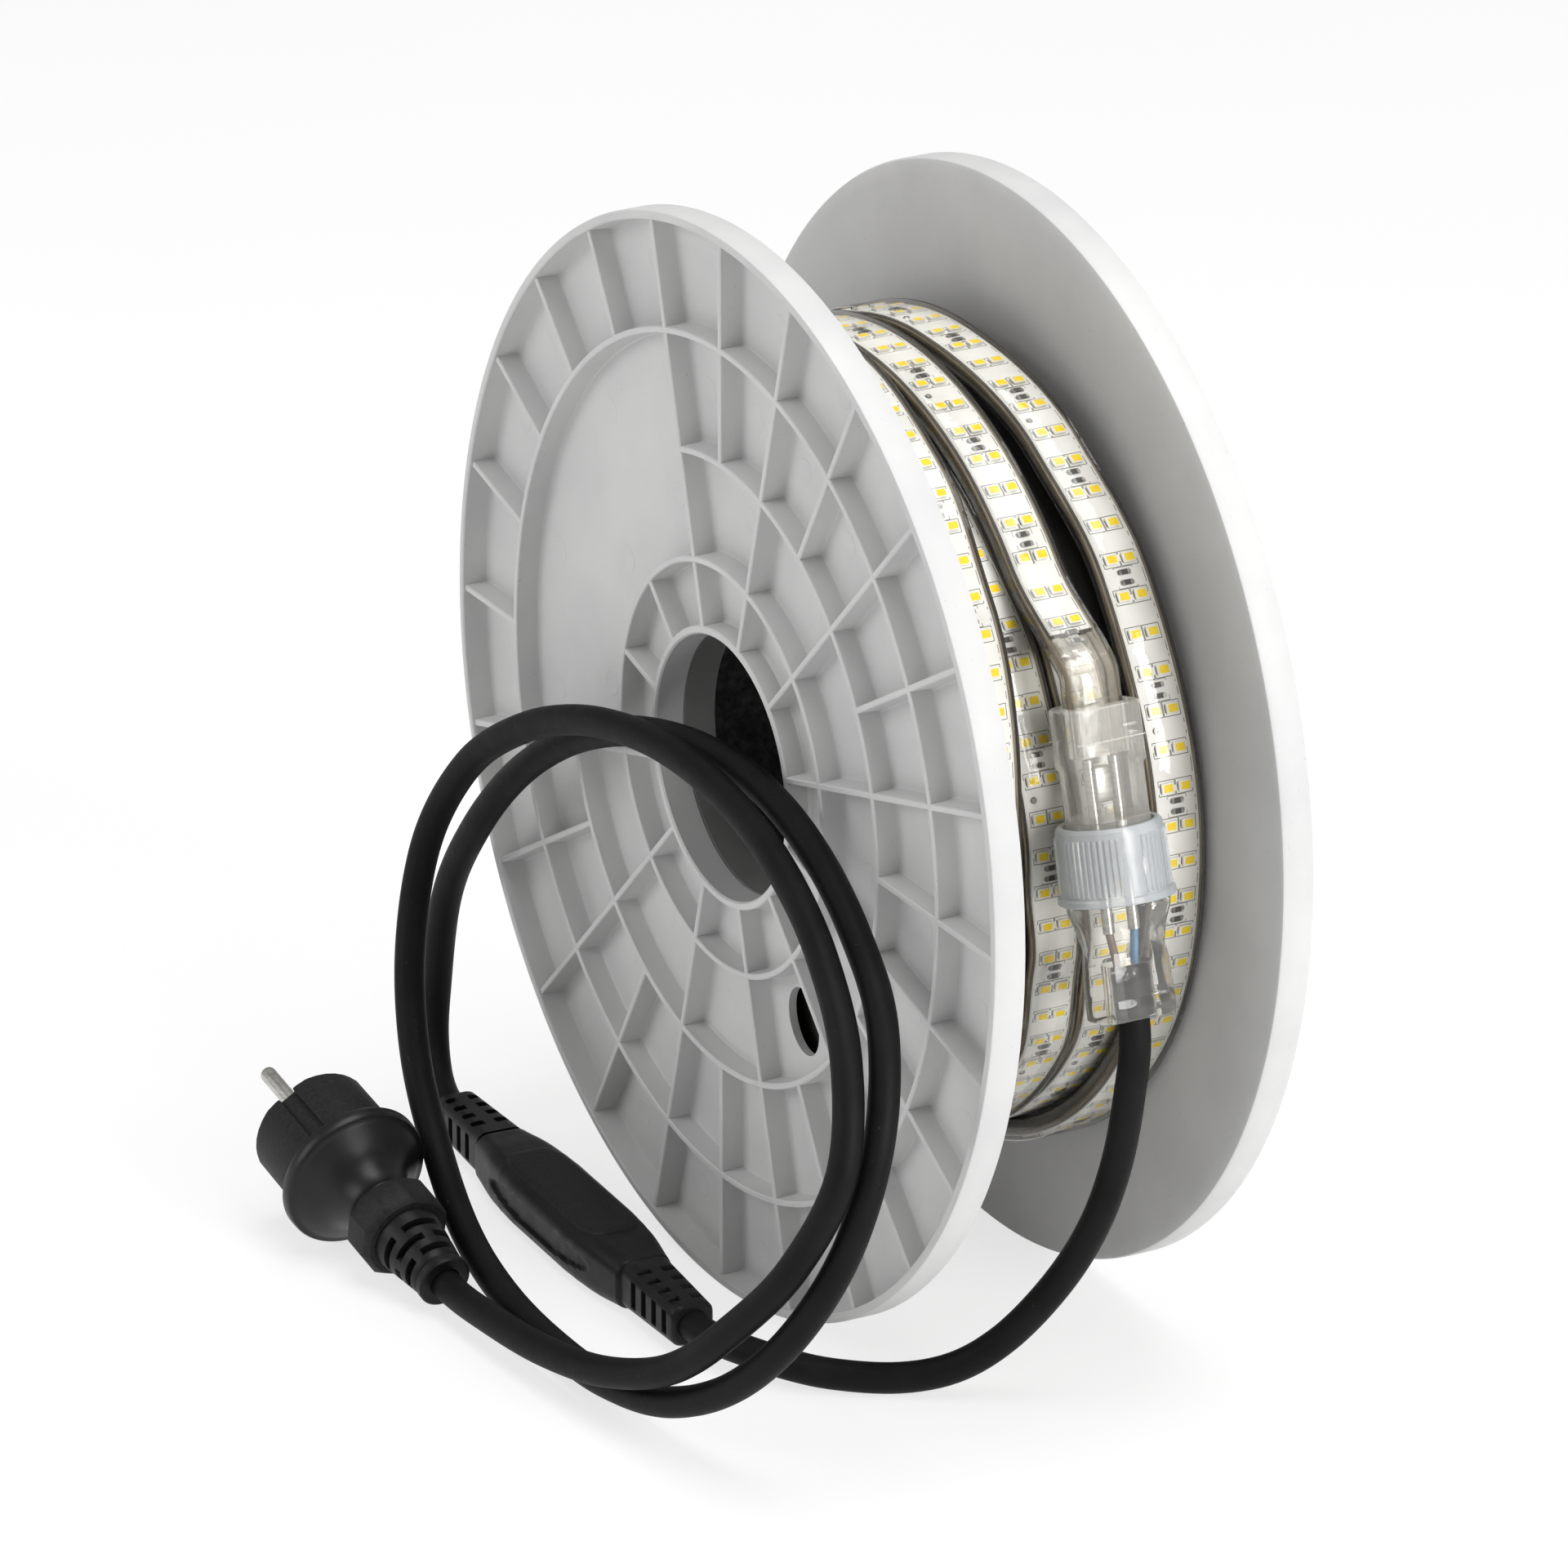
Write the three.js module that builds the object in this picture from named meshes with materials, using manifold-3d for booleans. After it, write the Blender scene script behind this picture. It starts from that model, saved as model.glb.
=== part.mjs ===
// LED strip light on its reel: two ribbed flanges on a barrel, the wound double-row strip,
// a clear screw connector, the rubber lead with its inline rectifier box, and the mains plug.
// Millimetres, +Z up. X is the reel's axis and the ribbed front flange faces -X.
// The origin is on the floor, under the middle of the reel.
import * as THREE from 'three';
import { mergeVertices } from 'three/addons/utils/BufferGeometryUtils.js';
import Module from 'manifold-3d';

const wasm = await Module();
wasm.setup();

// Reel
const flangeRadius = 160;
const reelWidth = 101;
const flangeThickness = 10;
const webThickness = 2.4;
const ribStepDown = 0.8;
const ribThickness = 2;
const rimWall = 3;
const boreRadius = 38.5;
const hubWall = 2.4;
const innerRingRadius = 60;
const middleRingRadius = 91.5;
const outerRingRadius = 125.5;
const ribAngle = 15;
const blankFrom = 255;
const blankTo = 345;
const reelFacets = 72;
const drumFacets = 48;
const startHoleRadius = 75;
const startHoleAngle = 150;
const startHoleLong = 20;
const startHoleWide = 17;
const arcStep = 7.5;

// Barrel and its foam sleeve
const barrelWall = 8;
const sleeveWall = 5.5;
const sleeveInset = 10;

// Wound strip
const stripWidth = 15.6;
const stripThickness = 8;
const lowerTurnsRadius = 113.5;
const windingClearance = 0.5;
const windingGapRear = 1.5;
const stripChamfer = 2;
const liftAngle = 41.25;
const socketAngle = 57;
const dipEndLeft = 122;
const dipEndMiddle = 176;
const slackParts = 166;

// Screw connector, measured along its own axis from the middle of the nut
const connectorX = 3;
const connectorReach = 130.8;
const connectorHeight = 9.9;
const connectorLean = 15.4;
const socketLength = 34;
const socketWidth = 24;
const socketDepth = 16;
const collarRadius = 13.2;
const collarLength = 3;
const nutLength = 21.4;
const nutRadius = 15.3;
const nutRibHeight = 0.45;
const nutFlangeRadius = 16.6;
const nutFlangeLength = 2.2;
const nutPlainRing = 2.4;
const nutTeeth = 64;
const nutLip = 2.6;
const threadClearance = 0.4;
const sealThickness = 1.8;
const leadTaperLength = 14;
const leadHalfLength = 33;
const leadWidth = 24;
const leadDepth = 15.5;
const leadShoulderRadius = 14.6;
const sleeveRadius = 6.7;
const sleeveDepth = 15;
const pinRadius = 1.1;
const pinLength = 16;
const pinSpacing = 8;
const fitClearance = 0.3;
const connectorFacets = 36;
const tailWidth = stripWidth;
const tailThickness = 6;
const tailInsert = 14;
const tailClearance = 0.5;

// Cords
const cordDiameter = 9;
const cordSides = 8;
const cordClearance = 0.5;

// Rectifier box
const boxLength = 100;
const boxWidth = 24;
const boxHeight = 17.5;
const boxEndWidth = 17;
const boxBevel = 4;
const boxTaper = 24;
const panelRise = 0.8;
const panelWidth = 17.5;
const panelLength = 62;
const panelEndWidth = 12.5;
const panelTaper = 7;
const lensLength = 74;
const lensHeight = 8;
const lensDepth = 1.2;
const reliefLength = 32;
const reliefWidth = 15.2;
const reliefHeight = 14.2;
const reliefEndWidth = 13;
const reliefEndHeight = 12.6;
const reliefChamfer = 1.2;
const reliefSlotDepth = 1;
const firstSlot = 5.5;
const slotCorner = 1.4;
const slotInset = 3;
const slotCount = 4;
const slotWidth = 2.6;
const slotDepth = 2.2;
const slotPitch = 6.4;
const ridgeWidth = 4;
const boxTurn = -2.93;
const boxPlace = new THREE.Vector3(-74.5, 44.3, 0);

// Mains plug, measured along its axis from the tail of its strain relief
const plugTail = new THREE.Vector3(-127.5, 21, 8.9);
const plugPitch = 13.7;
const plugYaw = 2.5;
const plugRoll = 54;
const plugLength = 80.5;
const headRadius = 18.6;
const headDepth = 23;
const plugCollarRadius = 22.4;
const plugCollarLength = 4;
const bellRadius = 19;
const neckRadius = 10.4;
const glandLength = 13;
const glandRadius = 14.2;
const glandFacets = 10;
const plugReliefLength = 22;
const plugReliefRadius = 8.2;
const plugReliefRootRadius = 10.6;
const matingPinRadius = 2.4;
const matingPinLength = 19;
const matingPinSpacing = 19;
const matingPinSeat = 6;
const guideWidth = 5.5;
const guideDepth = 1.6;
const flatDepth = 1.5;
const flatWidth = 18;
const earthWidth = 6;
const earthThickness = 0.8;
const earthLength = 18;
const earthSink = 1.6;

// The reel stands on flat facets of its flanges
const axisHeight = flangeRadius * Math.cos(Math.PI / reelFacets);
const drumWidth = reelWidth - 2 * flangeThickness;
const radians = THREE.MathUtils.degToRad;

const toneLightGrey = { color: 0xcfcfce, roughness: 0.62, metalness: 0 };
const toneDarkGrey = { color: 0x7d7d7c, roughness: 0.7, metalness: 0 };
const toneClear = { color: 0xd8d4cc, roughness: 0.25, metalness: 0 };
const toneBlackRubber = { color: 0x1b1b1b, roughness: 0.75, metalness: 0 };
const toneFoam = { color: 0x121212, roughness: 0.95, metalness: 0 };
const toneMetal = { color: 0xb9b6ae, roughness: 0.3, metalness: 1 };

const group = new THREE.Group();

function addPiece(parent, name, geometry, tone) {
  const mesh = new THREE.Mesh(geometry, new THREE.MeshStandardMaterial(tone));
  mesh.name = name;
  parent.add(mesh);
  return mesh;
}

// Solids made from three.js geometries, joined and cut exactly
function solidOf(geometry) {
  const bare = geometry.clone();
  bare.deleteAttribute('normal');
  bare.deleteAttribute('uv');
  const merged = mergeVertices(bare, 1e-4);
  const vertProperties = new Float32Array(merged.attributes.position.array);
  const triVerts = new Uint32Array(merged.index.array);
  return new wasm.Manifold(new wasm.Mesh({ numProp: 3, vertProperties, triVerts }));
}

function geometryOf(solid) {
  const mesh = solid.getMesh();
  const geometry = new THREE.BufferGeometry();
  geometry.setAttribute('position', new THREE.BufferAttribute(new Float32Array(mesh.vertProperties), 3));
  geometry.setIndex(new THREE.BufferAttribute(new Uint32Array(mesh.triVerts), 1));
  return geometry;
}

function cutAll(geometry, tools) {
  return tools.reduce((solid, tool) => solid.subtract(solidOf(tool)), solidOf(geometry));
}

function ringPoints(radius, facets, phase) {
  const points = [];
  for (let i = 0; i < facets; i += 1) {
    const angle = radians(phase) + (i * 2 * Math.PI) / facets;
    points.push(new THREE.Vector2(radius * Math.sin(angle), radius * Math.cos(angle)));
  }
  return points;
}

function extrude(shape, depth, start = 0) {
  const geometry = new THREE.ExtrudeGeometry(shape, { depth, bevelEnabled: false });
  geometry.translate(0, 0, start);
  return geometry;
}

// A body of revolution about Z, from a closed profile of [radius, height] pairs
function turned(profile, facets) {
  const points = profile.map(([radius, height]) => new THREE.Vector2(radius, height));
  points.push(points[0].clone());
  const geometry = new THREE.LatheGeometry(points, facets, Math.PI / facets);
  geometry.rotateX(Math.PI / 2);
  return geometry;
}

function rod(radius, length, facets, start = 0) {
  return extrude(new THREE.Shape(ringPoints(radius, facets, 180 / facets)), length, start);
}

function roundedOutline(width, height, corner) {
  const w = width / 2;
  const h = height / 2;
  const shape = new THREE.Shape();
  shape.moveTo(w - corner, -h);
  shape.absarc(w - corner, -h + corner, corner, -Math.PI / 2, 0, false);
  shape.absarc(w - corner, h - corner, corner, 0, Math.PI / 2, false);
  shape.absarc(-w + corner, h - corner, corner, Math.PI / 2, Math.PI, false);
  shape.absarc(-w + corner, -h + corner, corner, Math.PI, 1.5 * Math.PI, false);
  return new THREE.Shape(withoutDoubles(shape.getPoints(1)));
}

function withoutDoubles(points) {
  return points.filter((point, i) => {
    const previous = points[(i + points.length - 1) % points.length];
    return point.distanceTo(previous) > 1e-6;
  });
}

// A closed skin over sections that all have the same number of points, first to last
function lofted(sections) {
  const count = sections[0].length;
  const positions = sections.flat().flatMap((point) => [point.x, point.y, point.z]);
  const index = [];
  for (let row = 0; row + 1 < sections.length; row += 1) {
    for (let i = 0; i < count; i += 1) {
      const a = row * count + i;
      const b = row * count + ((i + 1) % count);
      index.push(a, b, b + count, a, b + count, a + count);
    }
  }
  const ends = [[0, true], [sections.length - 1, false]];
  for (const [row, first] of ends) {
    const flat = sections[row].map((point) => new THREE.Vector2(point.x, point.y));
    for (const [a, b, c] of THREE.ShapeUtils.triangulateShape(flat, [])) {
      const base = row * count;
      index.push(...(first ? [base + c, base + b, base + a] : [base + a, base + b, base + c]));
    }
  }
  const geometry = new THREE.BufferGeometry();
  geometry.setAttribute('position', new THREE.Float32BufferAttribute(positions, 3));
  geometry.setIndex(index);
  return geometry;
}

function sectionAt(shape, height, scaleX = 1, scaleY = 1) {
  return shape.getPoints().map((point) => new THREE.Vector3(point.x * scaleX, point.y * scaleY, height));
}

function box(width, depth, height, x, y, z) {
  const geometry = new THREE.BoxGeometry(width, depth, height);
  geometry.translate(x, y, z);
  return geometry;
}

// Reel frame: its Z points out of the front flange, its angles run clockwise from the top
const reel = new THREE.Group();
reel.position.set(0, 0, axisHeight);
const reelBasis = new THREE.Matrix4().makeBasis(
  new THREE.Vector3(0, -1, 0),
  new THREE.Vector3(0, 0, 1),
  new THREE.Vector3(-1, 0, 0),
);
reel.setRotationFromMatrix(reelBasis);
group.add(reel);

// Pocket between two rings and two radial ribs of even thickness
function pocketPrism(innerRadius, outerRadius, from, to) {
  const half = ribThickness / 2;
  const outerShift = Math.asin(half / outerRadius);
  const innerShift = Math.asin(half / innerRadius);
  const steps = Math.round((to - from) / arcStep);
  const points = [];
  for (let i = 0; i <= steps; i += 1) {
    const span = radians(to - from) - 2 * outerShift;
    const angle = radians(from) + outerShift + (span * i) / steps;
    points.push(new THREE.Vector2(outerRadius * Math.sin(angle), outerRadius * Math.cos(angle)));
  }
  for (let i = steps; i >= 0; i -= 1) {
    const span = radians(to - from) - 2 * innerShift;
    const angle = radians(from) + innerShift + (span * i) / steps;
    points.push(new THREE.Vector2(innerRadius * Math.sin(angle), innerRadius * Math.cos(angle)));
  }
  return extrude(new THREE.Shape(points), flangeThickness, webThickness);
}

function bayPockets(innerRadius, outerRadius, first, last, step) {
  const pockets = [];
  for (let angle = first; angle + step <= last + 1e-6; angle += step) {
    pockets.push(pocketPrism(innerRadius, outerRadius, angle, angle + step));
  }
  return pockets;
}

// The pockets next to the rim end on its inner facets
function rimPockets(innerRadius, rimInner) {
  const past = bayPockets(innerRadius, flangeRadius, 0, 360, ribAngle).map((pocket) => solidOf(pocket));
  return wasm.Manifold.union(past).intersect(solidOf(rod(rimInner, 3 * flangeThickness, reelFacets)));
}

// One moulding: a disc with a bore, a start hole through its web, and pockets that leave the ribs
function flangeGeometry() {
  const half = ribThickness / 2;
  const rimInner = flangeRadius - rimWall;
  const hubOuter = boreRadius + hubWall;
  const startHole = new THREE.Shape();
  startHole.absellipse(0, 0, startHoleWide / 2, startHoleLong / 2, 0, 2 * Math.PI, false, 0);
  const startHoleOutline = new THREE.Shape(withoutDoubles(startHole.getPoints(8)));
  const startHolePrism = extrude(startHoleOutline, webThickness + 2, -1);
  startHolePrism.translate(0, startHoleRadius, 0);
  startHolePrism.rotateZ(-radians(startHoleAngle));
  return geometryOf(
    cutAll(rod(flangeRadius, flangeThickness, reelFacets), [
      rod(rimInner, flangeThickness, reelFacets, flangeThickness - ribStepDown),
      rod(boreRadius, 3 * flangeThickness, drumFacets, -flangeThickness),
      startHolePrism,
      ...bayPockets(middleRingRadius + half, outerRingRadius - half, blankTo - 360, blankFrom, ribAngle),
      ...bayPockets(innerRingRadius + half, middleRingRadius - half, blankTo - 360, blankFrom, 2 * ribAngle),
      pocketPrism(innerRingRadius + half, outerRingRadius - half, blankFrom, blankTo),
      ...bayPockets(hubOuter, innerRingRadius - half, ribAngle, 360 + ribAngle, 2 * ribAngle),
    ]).subtract(rimPockets(outerRingRadius + half, rimInner)),
  );
}

const flangeShape = flangeGeometry();
flangeShape.translate(0, 0, drumWidth / 2);
addPiece(reel, 'front_flange', flangeShape, toneLightGrey);
const rearFlange = addPiece(reel, 'rear_flange', flangeShape, toneLightGrey);
rearFlange.rotation.y = Math.PI;

// Barrel with a wide middle bore for the foam sleeve
const recessRadius = boreRadius + sleeveWall;
const recessHalf = drumWidth / 2 - sleeveInset;
const barrelRadius = recessRadius + barrelWall;
const barrelProfile = [
  [boreRadius, -drumWidth / 2],
  [barrelRadius, -drumWidth / 2],
  [barrelRadius, drumWidth / 2],
  [boreRadius, drumWidth / 2],
  [boreRadius, recessHalf],
  [recessRadius, recessHalf],
  [recessRadius, -recessHalf],
  [boreRadius, -recessHalf],
];
addPiece(reel, 'barrel', turned(barrelProfile, drumFacets), toneDarkGrey);

const foamInner = boreRadius + fitClearance;
const foamOuter = recessRadius - fitClearance;
const foamHalf = recessHalf - fitClearance;
const foamProfile = [
  [foamInner, -foamHalf],
  [foamOuter, -foamHalf],
  [foamOuter, foamHalf],
  [foamInner, foamHalf],
];
addPiece(reel, 'core_liner', turned(foamProfile, drumFacets), toneFoam);

// Wound strip: one solid whose upper turns stand up as ridges that wander sideways round the drum.
// The room that the turns leave on the drum is shared out in small parts. Each turn has the parts before it,
// the parts that it wanders to either side, and the angles between which it lies a layer deeper.
const upperTurns = [
  { before: 7, wander: 0, phase: 0, dip: null },
  { before: 38, wander: 30, phase: 62, dip: [socketAngle, dipEndLeft] },
  { before: 46, wander: 30, phase: 62, dip: [liftAngle, dipEndMiddle] },
  { before: 109, wander: 50, phase: 30, dip: null },
];
const endTurn = upperTurns[2];
const windingFront = -drumWidth / 2 + windingClearance;
const windingRear = drumWidth / 2 - windingGapRear;
const slackPart = (windingRear - windingFront - upperTurns.length * stripWidth) / slackParts;
const leastRidge = 0.8;
const dipStart = 1;
const dipEnd = 18;

function placeAt(turn, angle) {
  const middle = windingFront + stripWidth * (upperTurns.indexOf(turn) + 0.5) + slackPart * turn.before;
  return middle + slackPart * turn.wander * Math.sin(radians(angle - turn.phase));
}

function ridgeHeight(turn, angle) {
  if (!turn.dip) {
    return stripThickness;
  }
  const [from, to] = turn.dip;
  const entering = THREE.MathUtils.smoothstep(angle, from, from + dipStart);
  const leaving = THREE.MathUtils.smoothstep(angle, to - dipEnd, to);
  return THREE.MathUtils.lerp(stripThickness, leastRidge, entering * (1 - leaving));
}

function windingSection(angle) {
  const profile = [
    [windingFront, barrelRadius + windingClearance],
    [windingFront, lowerTurnsRadius],
  ];
  for (const turn of upperTurns) {
    const middle = placeAt(turn, angle);
    const height = ridgeHeight(turn, angle);
    const chamfer = Math.min(stripChamfer, height / 2);
    const half = stripWidth / 2;
    profile.push([middle - half, lowerTurnsRadius]);
    profile.push([middle - half, lowerTurnsRadius + height - chamfer]);
    profile.push([middle - half + stripChamfer, lowerTurnsRadius + height]);
    profile.push([middle + half - stripChamfer, lowerTurnsRadius + height]);
    profile.push([middle + half, lowerTurnsRadius + height - chamfer]);
    profile.push([middle + half, lowerTurnsRadius]);
  }
  profile.push([windingRear, lowerTurnsRadius], [windingRear, barrelRadius + windingClearance]);
  return profile;
}

function windingGeometry() {
  const positions = [];
  const index = [];
  const count = windingSection(0).length;
  const angles = [liftAngle + dipStart];
  for (let i = 0; i < drumFacets; i += 1) {
    angles.push(((i + 0.5) * 360) / drumFacets);
  }
  angles.sort((a, b) => a - b);
  for (let row = 0; row < angles.length; row += 1) {
    const turn = radians(angles[row]);
    for (const [x, radius] of windingSection(angles[row])) {
      positions.push(radius * Math.sin(turn), radius * Math.cos(turn), -x);
    }
    const next = (row + 1) % angles.length;
    for (let i = 0; i < count; i += 1) {
      const j = (i + 1) % count;
      index.push(row * count + i, next * count + i, next * count + j);
      index.push(row * count + i, next * count + j, row * count + j);
    }
  }
  const geometry = new THREE.BufferGeometry();
  geometry.setAttribute('position', new THREE.Float32BufferAttribute(positions, 3));
  geometry.setIndex(index);
  return geometry;
}
addPiece(reel, 'strip_winding', windingGeometry(), toneClear);

// Connector frame: origin in the middle of the nut, Z down towards the lead, Y away from the drum
const connector = new THREE.Group();
connector.position.set(connectorX, -connectorReach, axisHeight + connectorHeight);
connector.rotation.x = Math.PI - radians(connectorLean);
group.add(connector);

const nutTop = -nutLength / 2;
const nutBottom = nutLength / 2;
const collarTop = nutTop + nutLip + fitClearance;
const collarFace = collarTop + collarLength;
const socketTop = nutTop - socketLength + 1;
const leadFace = collarFace + sealThickness + fitClearance;
const leadShoulder = nutBottom + fitClearance;
const leadEnd = leadShoulder + leadHalfLength;
const sleeveStart = leadEnd - sleeveDepth;
const pinStart = collarFace - pinLength / 2 - 2;

function pinHoles(start, length) {
  return [-1, 1].map((side) => {
    const hole = rod(pinRadius + fitClearance, length, 12, start);
    hole.translate((side * pinSpacing) / 2, 0, 0);
    return hole;
  });
}

// Socket half on the strip: a flat block with a round collar that the nut holds
const socketOutline = roundedOutline(socketWidth, socketDepth, 5);
const neckRadiusInNut = nutRadius - nutLip - 2 * fitClearance;
const socketNeck = rod(neckRadiusInNut, collarFace - nutTop + 2, connectorFacets, nutTop - 2);
const socketBlock = lofted([
  sectionAt(socketOutline, socketTop),
  sectionAt(socketOutline, socketTop + 17),
  sectionAt(socketOutline, socketTop + 18, 0.93, 0.93),
  sectionAt(socketOutline, nutTop - 1, 0.93, 0.93),
]);
const socketSolid = solidOf(socketBlock)
  .add(solidOf(socketNeck))
  .add(solidOf(rod(collarRadius, collarLength, connectorFacets, collarTop)));
const tailPocket = extrude(
  roundedOutline(tailWidth + 2 * tailClearance, tailThickness + 2 * tailClearance, 2),
  tailInsert + tailClearance + 1,
  socketTop - 1,
);
const socketHoles = pinHoles(pinStart - fitClearance, collarFace - pinStart + 1);
const socketCut = [tailPocket, ...socketHoles].reduce((s, tool) => s.subtract(solidOf(tool)), socketSolid);
addPiece(connector, 'strip_socket', geometryOf(socketCut), toneClear);

// Coupling nut with four panels of grip ribs and a lip that pulls on the socket's collar
function nutOutline() {
  const points = [];
  for (let i = 0; i < nutTeeth; i += 1) {
    const inPanel = i % (nutTeeth / 4) > 3;
    const radius = nutRadius + (inPanel && i % 2 === 0 ? nutRibHeight : 0);
    const angle = (i * 2 * Math.PI) / nutTeeth;
    points.push(new THREE.Vector2(radius * Math.sin(angle), radius * Math.cos(angle)));
  }
  return points;
}
const gripShape = new THREE.Shape(nutOutline());
const gripLength = nutLength - nutPlainRing - nutFlangeLength;
const nutBody = solidOf(rod(nutRadius - nutRibHeight, nutPlainRing + 1, connectorFacets, nutTop))
  .add(solidOf(extrude(gripShape, gripLength + 1, nutTop + nutPlainRing)))
  .add(solidOf(rod(nutFlangeRadius, nutFlangeLength, connectorFacets, nutBottom - nutFlangeLength)))
  .subtract(solidOf(rod(nutRadius - nutLip, nutLip + 2, connectorFacets, nutTop - 1)))
  .subtract(solidOf(rod(collarRadius + threadClearance, nutLength, connectorFacets, nutTop + nutLip)));
addPiece(connector, 'coupling_nut', geometryOf(nutBody), toneClear);

const sealProfile = [
  [collarRadius - 3.4, collarFace],
  [collarRadius - 0.6, collarFace],
  [collarRadius - 0.6, collarFace + sealThickness],
  [collarRadius - 3.4, collarFace + sealThickness],
];
const sealRing = turned(sealProfile, connectorFacets);
sealRing.translate(0, 0, fitClearance / 2);
addPiece(connector, 'sealing_ring', sealRing, toneClear);

for (const [side, name] of [[-1, 'contact_pin_left'], [1, 'contact_pin_right']]) {
  const pin = rod(pinRadius, pinLength, 12, pinStart);
  pin.translate((side * pinSpacing) / 2, 0, 0);
  addPiece(connector, name, pin, toneMetal);
}

// Lead half: threaded spigot inside the nut, flared shoulder, then a flat block around the lead
const leadOutline = roundedOutline(leadWidth, leadDepth, 5);
const shoulderCircle = leadOutline.getPoints().map((point) => {
  return point.clone().setLength(leadShoulderRadius);
});
const leadBody = lofted([
  shoulderCircle.map((point) => new THREE.Vector3(point.x, point.y, leadShoulder)),
  shoulderCircle.map((point) => new THREE.Vector3(point.x * 0.98, point.y * 0.98, leadShoulder + 2)),
  sectionAt(leadOutline, leadShoulder + leadTaperLength, 0.94, 0.94),
  sectionAt(leadOutline, leadEnd),
]);
const spigot = rod(collarRadius, leadShoulder - leadFace + 1, connectorFacets, leadFace);
const leadCuts = [
  rod(sleeveRadius + fitClearance, sleeveDepth + 1, 24, sleeveStart - fitClearance),
  ...pinHoles(leadFace - 1, pinStart + pinLength - leadFace + 1 + fitClearance),
];
const leadSolid = leadCuts.reduce(
  (solid, tool) => solid.subtract(solidOf(tool)),
  solidOf(leadBody).add(solidOf(spigot)),
);
addPiece(connector, 'lead_connector', geometryOf(leadSolid), toneClear);

const cordRadius = cordDiameter / 2;
const sleeveBoreRadius = cordRadius + cordClearance;
const cordSeat = leadEnd - 12;
const leadSleeve = cutAll(rod(sleeveRadius, sleeveDepth - fitClearance, 24, sleeveStart), [
  rod(sleeveBoreRadius, sleeveDepth, 24, cordSeat - fitClearance),
]);
addPiece(connector, 'lead_sleeve', geometryOf(leadSleeve), toneBlackRubber);

// End of the strip: it lifts off the drum and bends down into the socket
connector.updateMatrixWorld(true);
const tailRadius = lowerTurnsRadius + leastRidge + 2 * fitClearance + tailThickness / 2;
const tailStart = liftAngle + 1.5 * dipStart;
const straightRun = 14;
const bendEnd = socketTop - 5;

function onDrum(angle, along) {
  const y = -tailRadius * Math.sin(radians(angle)) - along * Math.cos(radians(angle));
  const z = tailRadius * Math.cos(radians(angle)) - along * Math.sin(radians(angle));
  return new THREE.Vector3(placeAt(endTurn, angle), y, axisHeight + z);
}
const tailPoints = [
  onDrum(tailStart, 0),
  onDrum(tailStart, straightRun),
  connector.localToWorld(new THREE.Vector3(0, 0, bendEnd - 4)),
  connector.localToWorld(new THREE.Vector3(0, 0, bendEnd)),
  connector.localToWorld(new THREE.Vector3(0, 0, socketTop + tailInsert)),
];
const tailGeometry = new THREE.ExtrudeGeometry(roundedOutline(tailWidth, tailThickness, 1.8), {
  steps: 18,
  bevelEnabled: false,
  extrudePath: new THREE.CatmullRomCurve3(tailPoints, false, 'centripetal'),
});
addPiece(group, 'strip_lead_end', tailGeometry, toneClear);

// A free cord along its points
function cordGeometry(points, steps) {
  const curve = new THREE.CatmullRomCurve3(points.map((p) => new THREE.Vector3(...p)), false, 'centripetal');
  const section = new THREE.Shape(ringPoints(cordRadius, cordSides, 0));
  return new THREE.ExtrudeGeometry(section, { steps, bevelEnabled: false, extrudePath: curve });
}

// Frame of the rectifier box: Y along it, away from the connector's lead
const rectifier = new THREE.Group();
rectifier.position.copy(boxPlace);
rectifier.rotation.z = radians(boxTurn);
group.add(rectifier);

function boxOutline(width, length, endWidth, taper) {
  const w = width / 2;
  const l = length / 2;
  const e = endWidth / 2;
  const rightSide = [[e, -l], [w, taper - l], [w, l - taper], [e, l]];
  const leftSide = rightSide.map(([x, y]) => [-x, y]).reverse();
  return new THREE.Shape([...rightSide, ...leftSide].map(([x, y]) => new THREE.Vector2(x, y)));
}
const housingCore = new THREE.ExtrudeGeometry(
  boxOutline(boxWidth - 2 * boxBevel, boxLength - 0.6, boxEndWidth - 2 * boxBevel, boxTaper),
  {
    depth: boxHeight - panelRise - 2 * boxBevel,
    bevelEnabled: true,
    bevelThickness: boxBevel,
    bevelSize: boxBevel,
    bevelSegments: 3,
  },
);
housingCore.translate(0, 0, boxBevel);
const housingEnds = [-1, 1].map((side) => {
  return box(boxWidth, 20, 2 * boxHeight, 0, side * (boxLength / 2 + 10), 0);
});
const panelOutline = boxOutline(panelWidth, panelLength, panelEndWidth, panelTaper);
const topPanel = extrude(panelOutline, boxHeight / 2, boxHeight / 2);
const lensShape = new THREE.Shape();
lensShape.absellipse(0, 0, lensLength / 2, lensHeight / 2, 0, 2 * Math.PI, false, 0);
const lensCuts = [-1, 1].map((side) => {
  const lens = extrude(new THREE.Shape(withoutDoubles(lensShape.getPoints(9))), 2 * lensDepth, -lensDepth);
  lens.rotateX(Math.PI / 2);
  lens.rotateZ(Math.PI / 2);
  lens.translate((side * boxWidth) / 2, 0, boxHeight / 2);
  return lens;
});
const housing = [...housingEnds, ...lensCuts].reduce(
  (solid, tool) => solid.subtract(solidOf(tool)),
  solidOf(housingCore).add(solidOf(topPanel)),
);
addPiece(rectifier, 'rectifier_housing', geometryOf(housing), toneBlackRubber);

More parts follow.
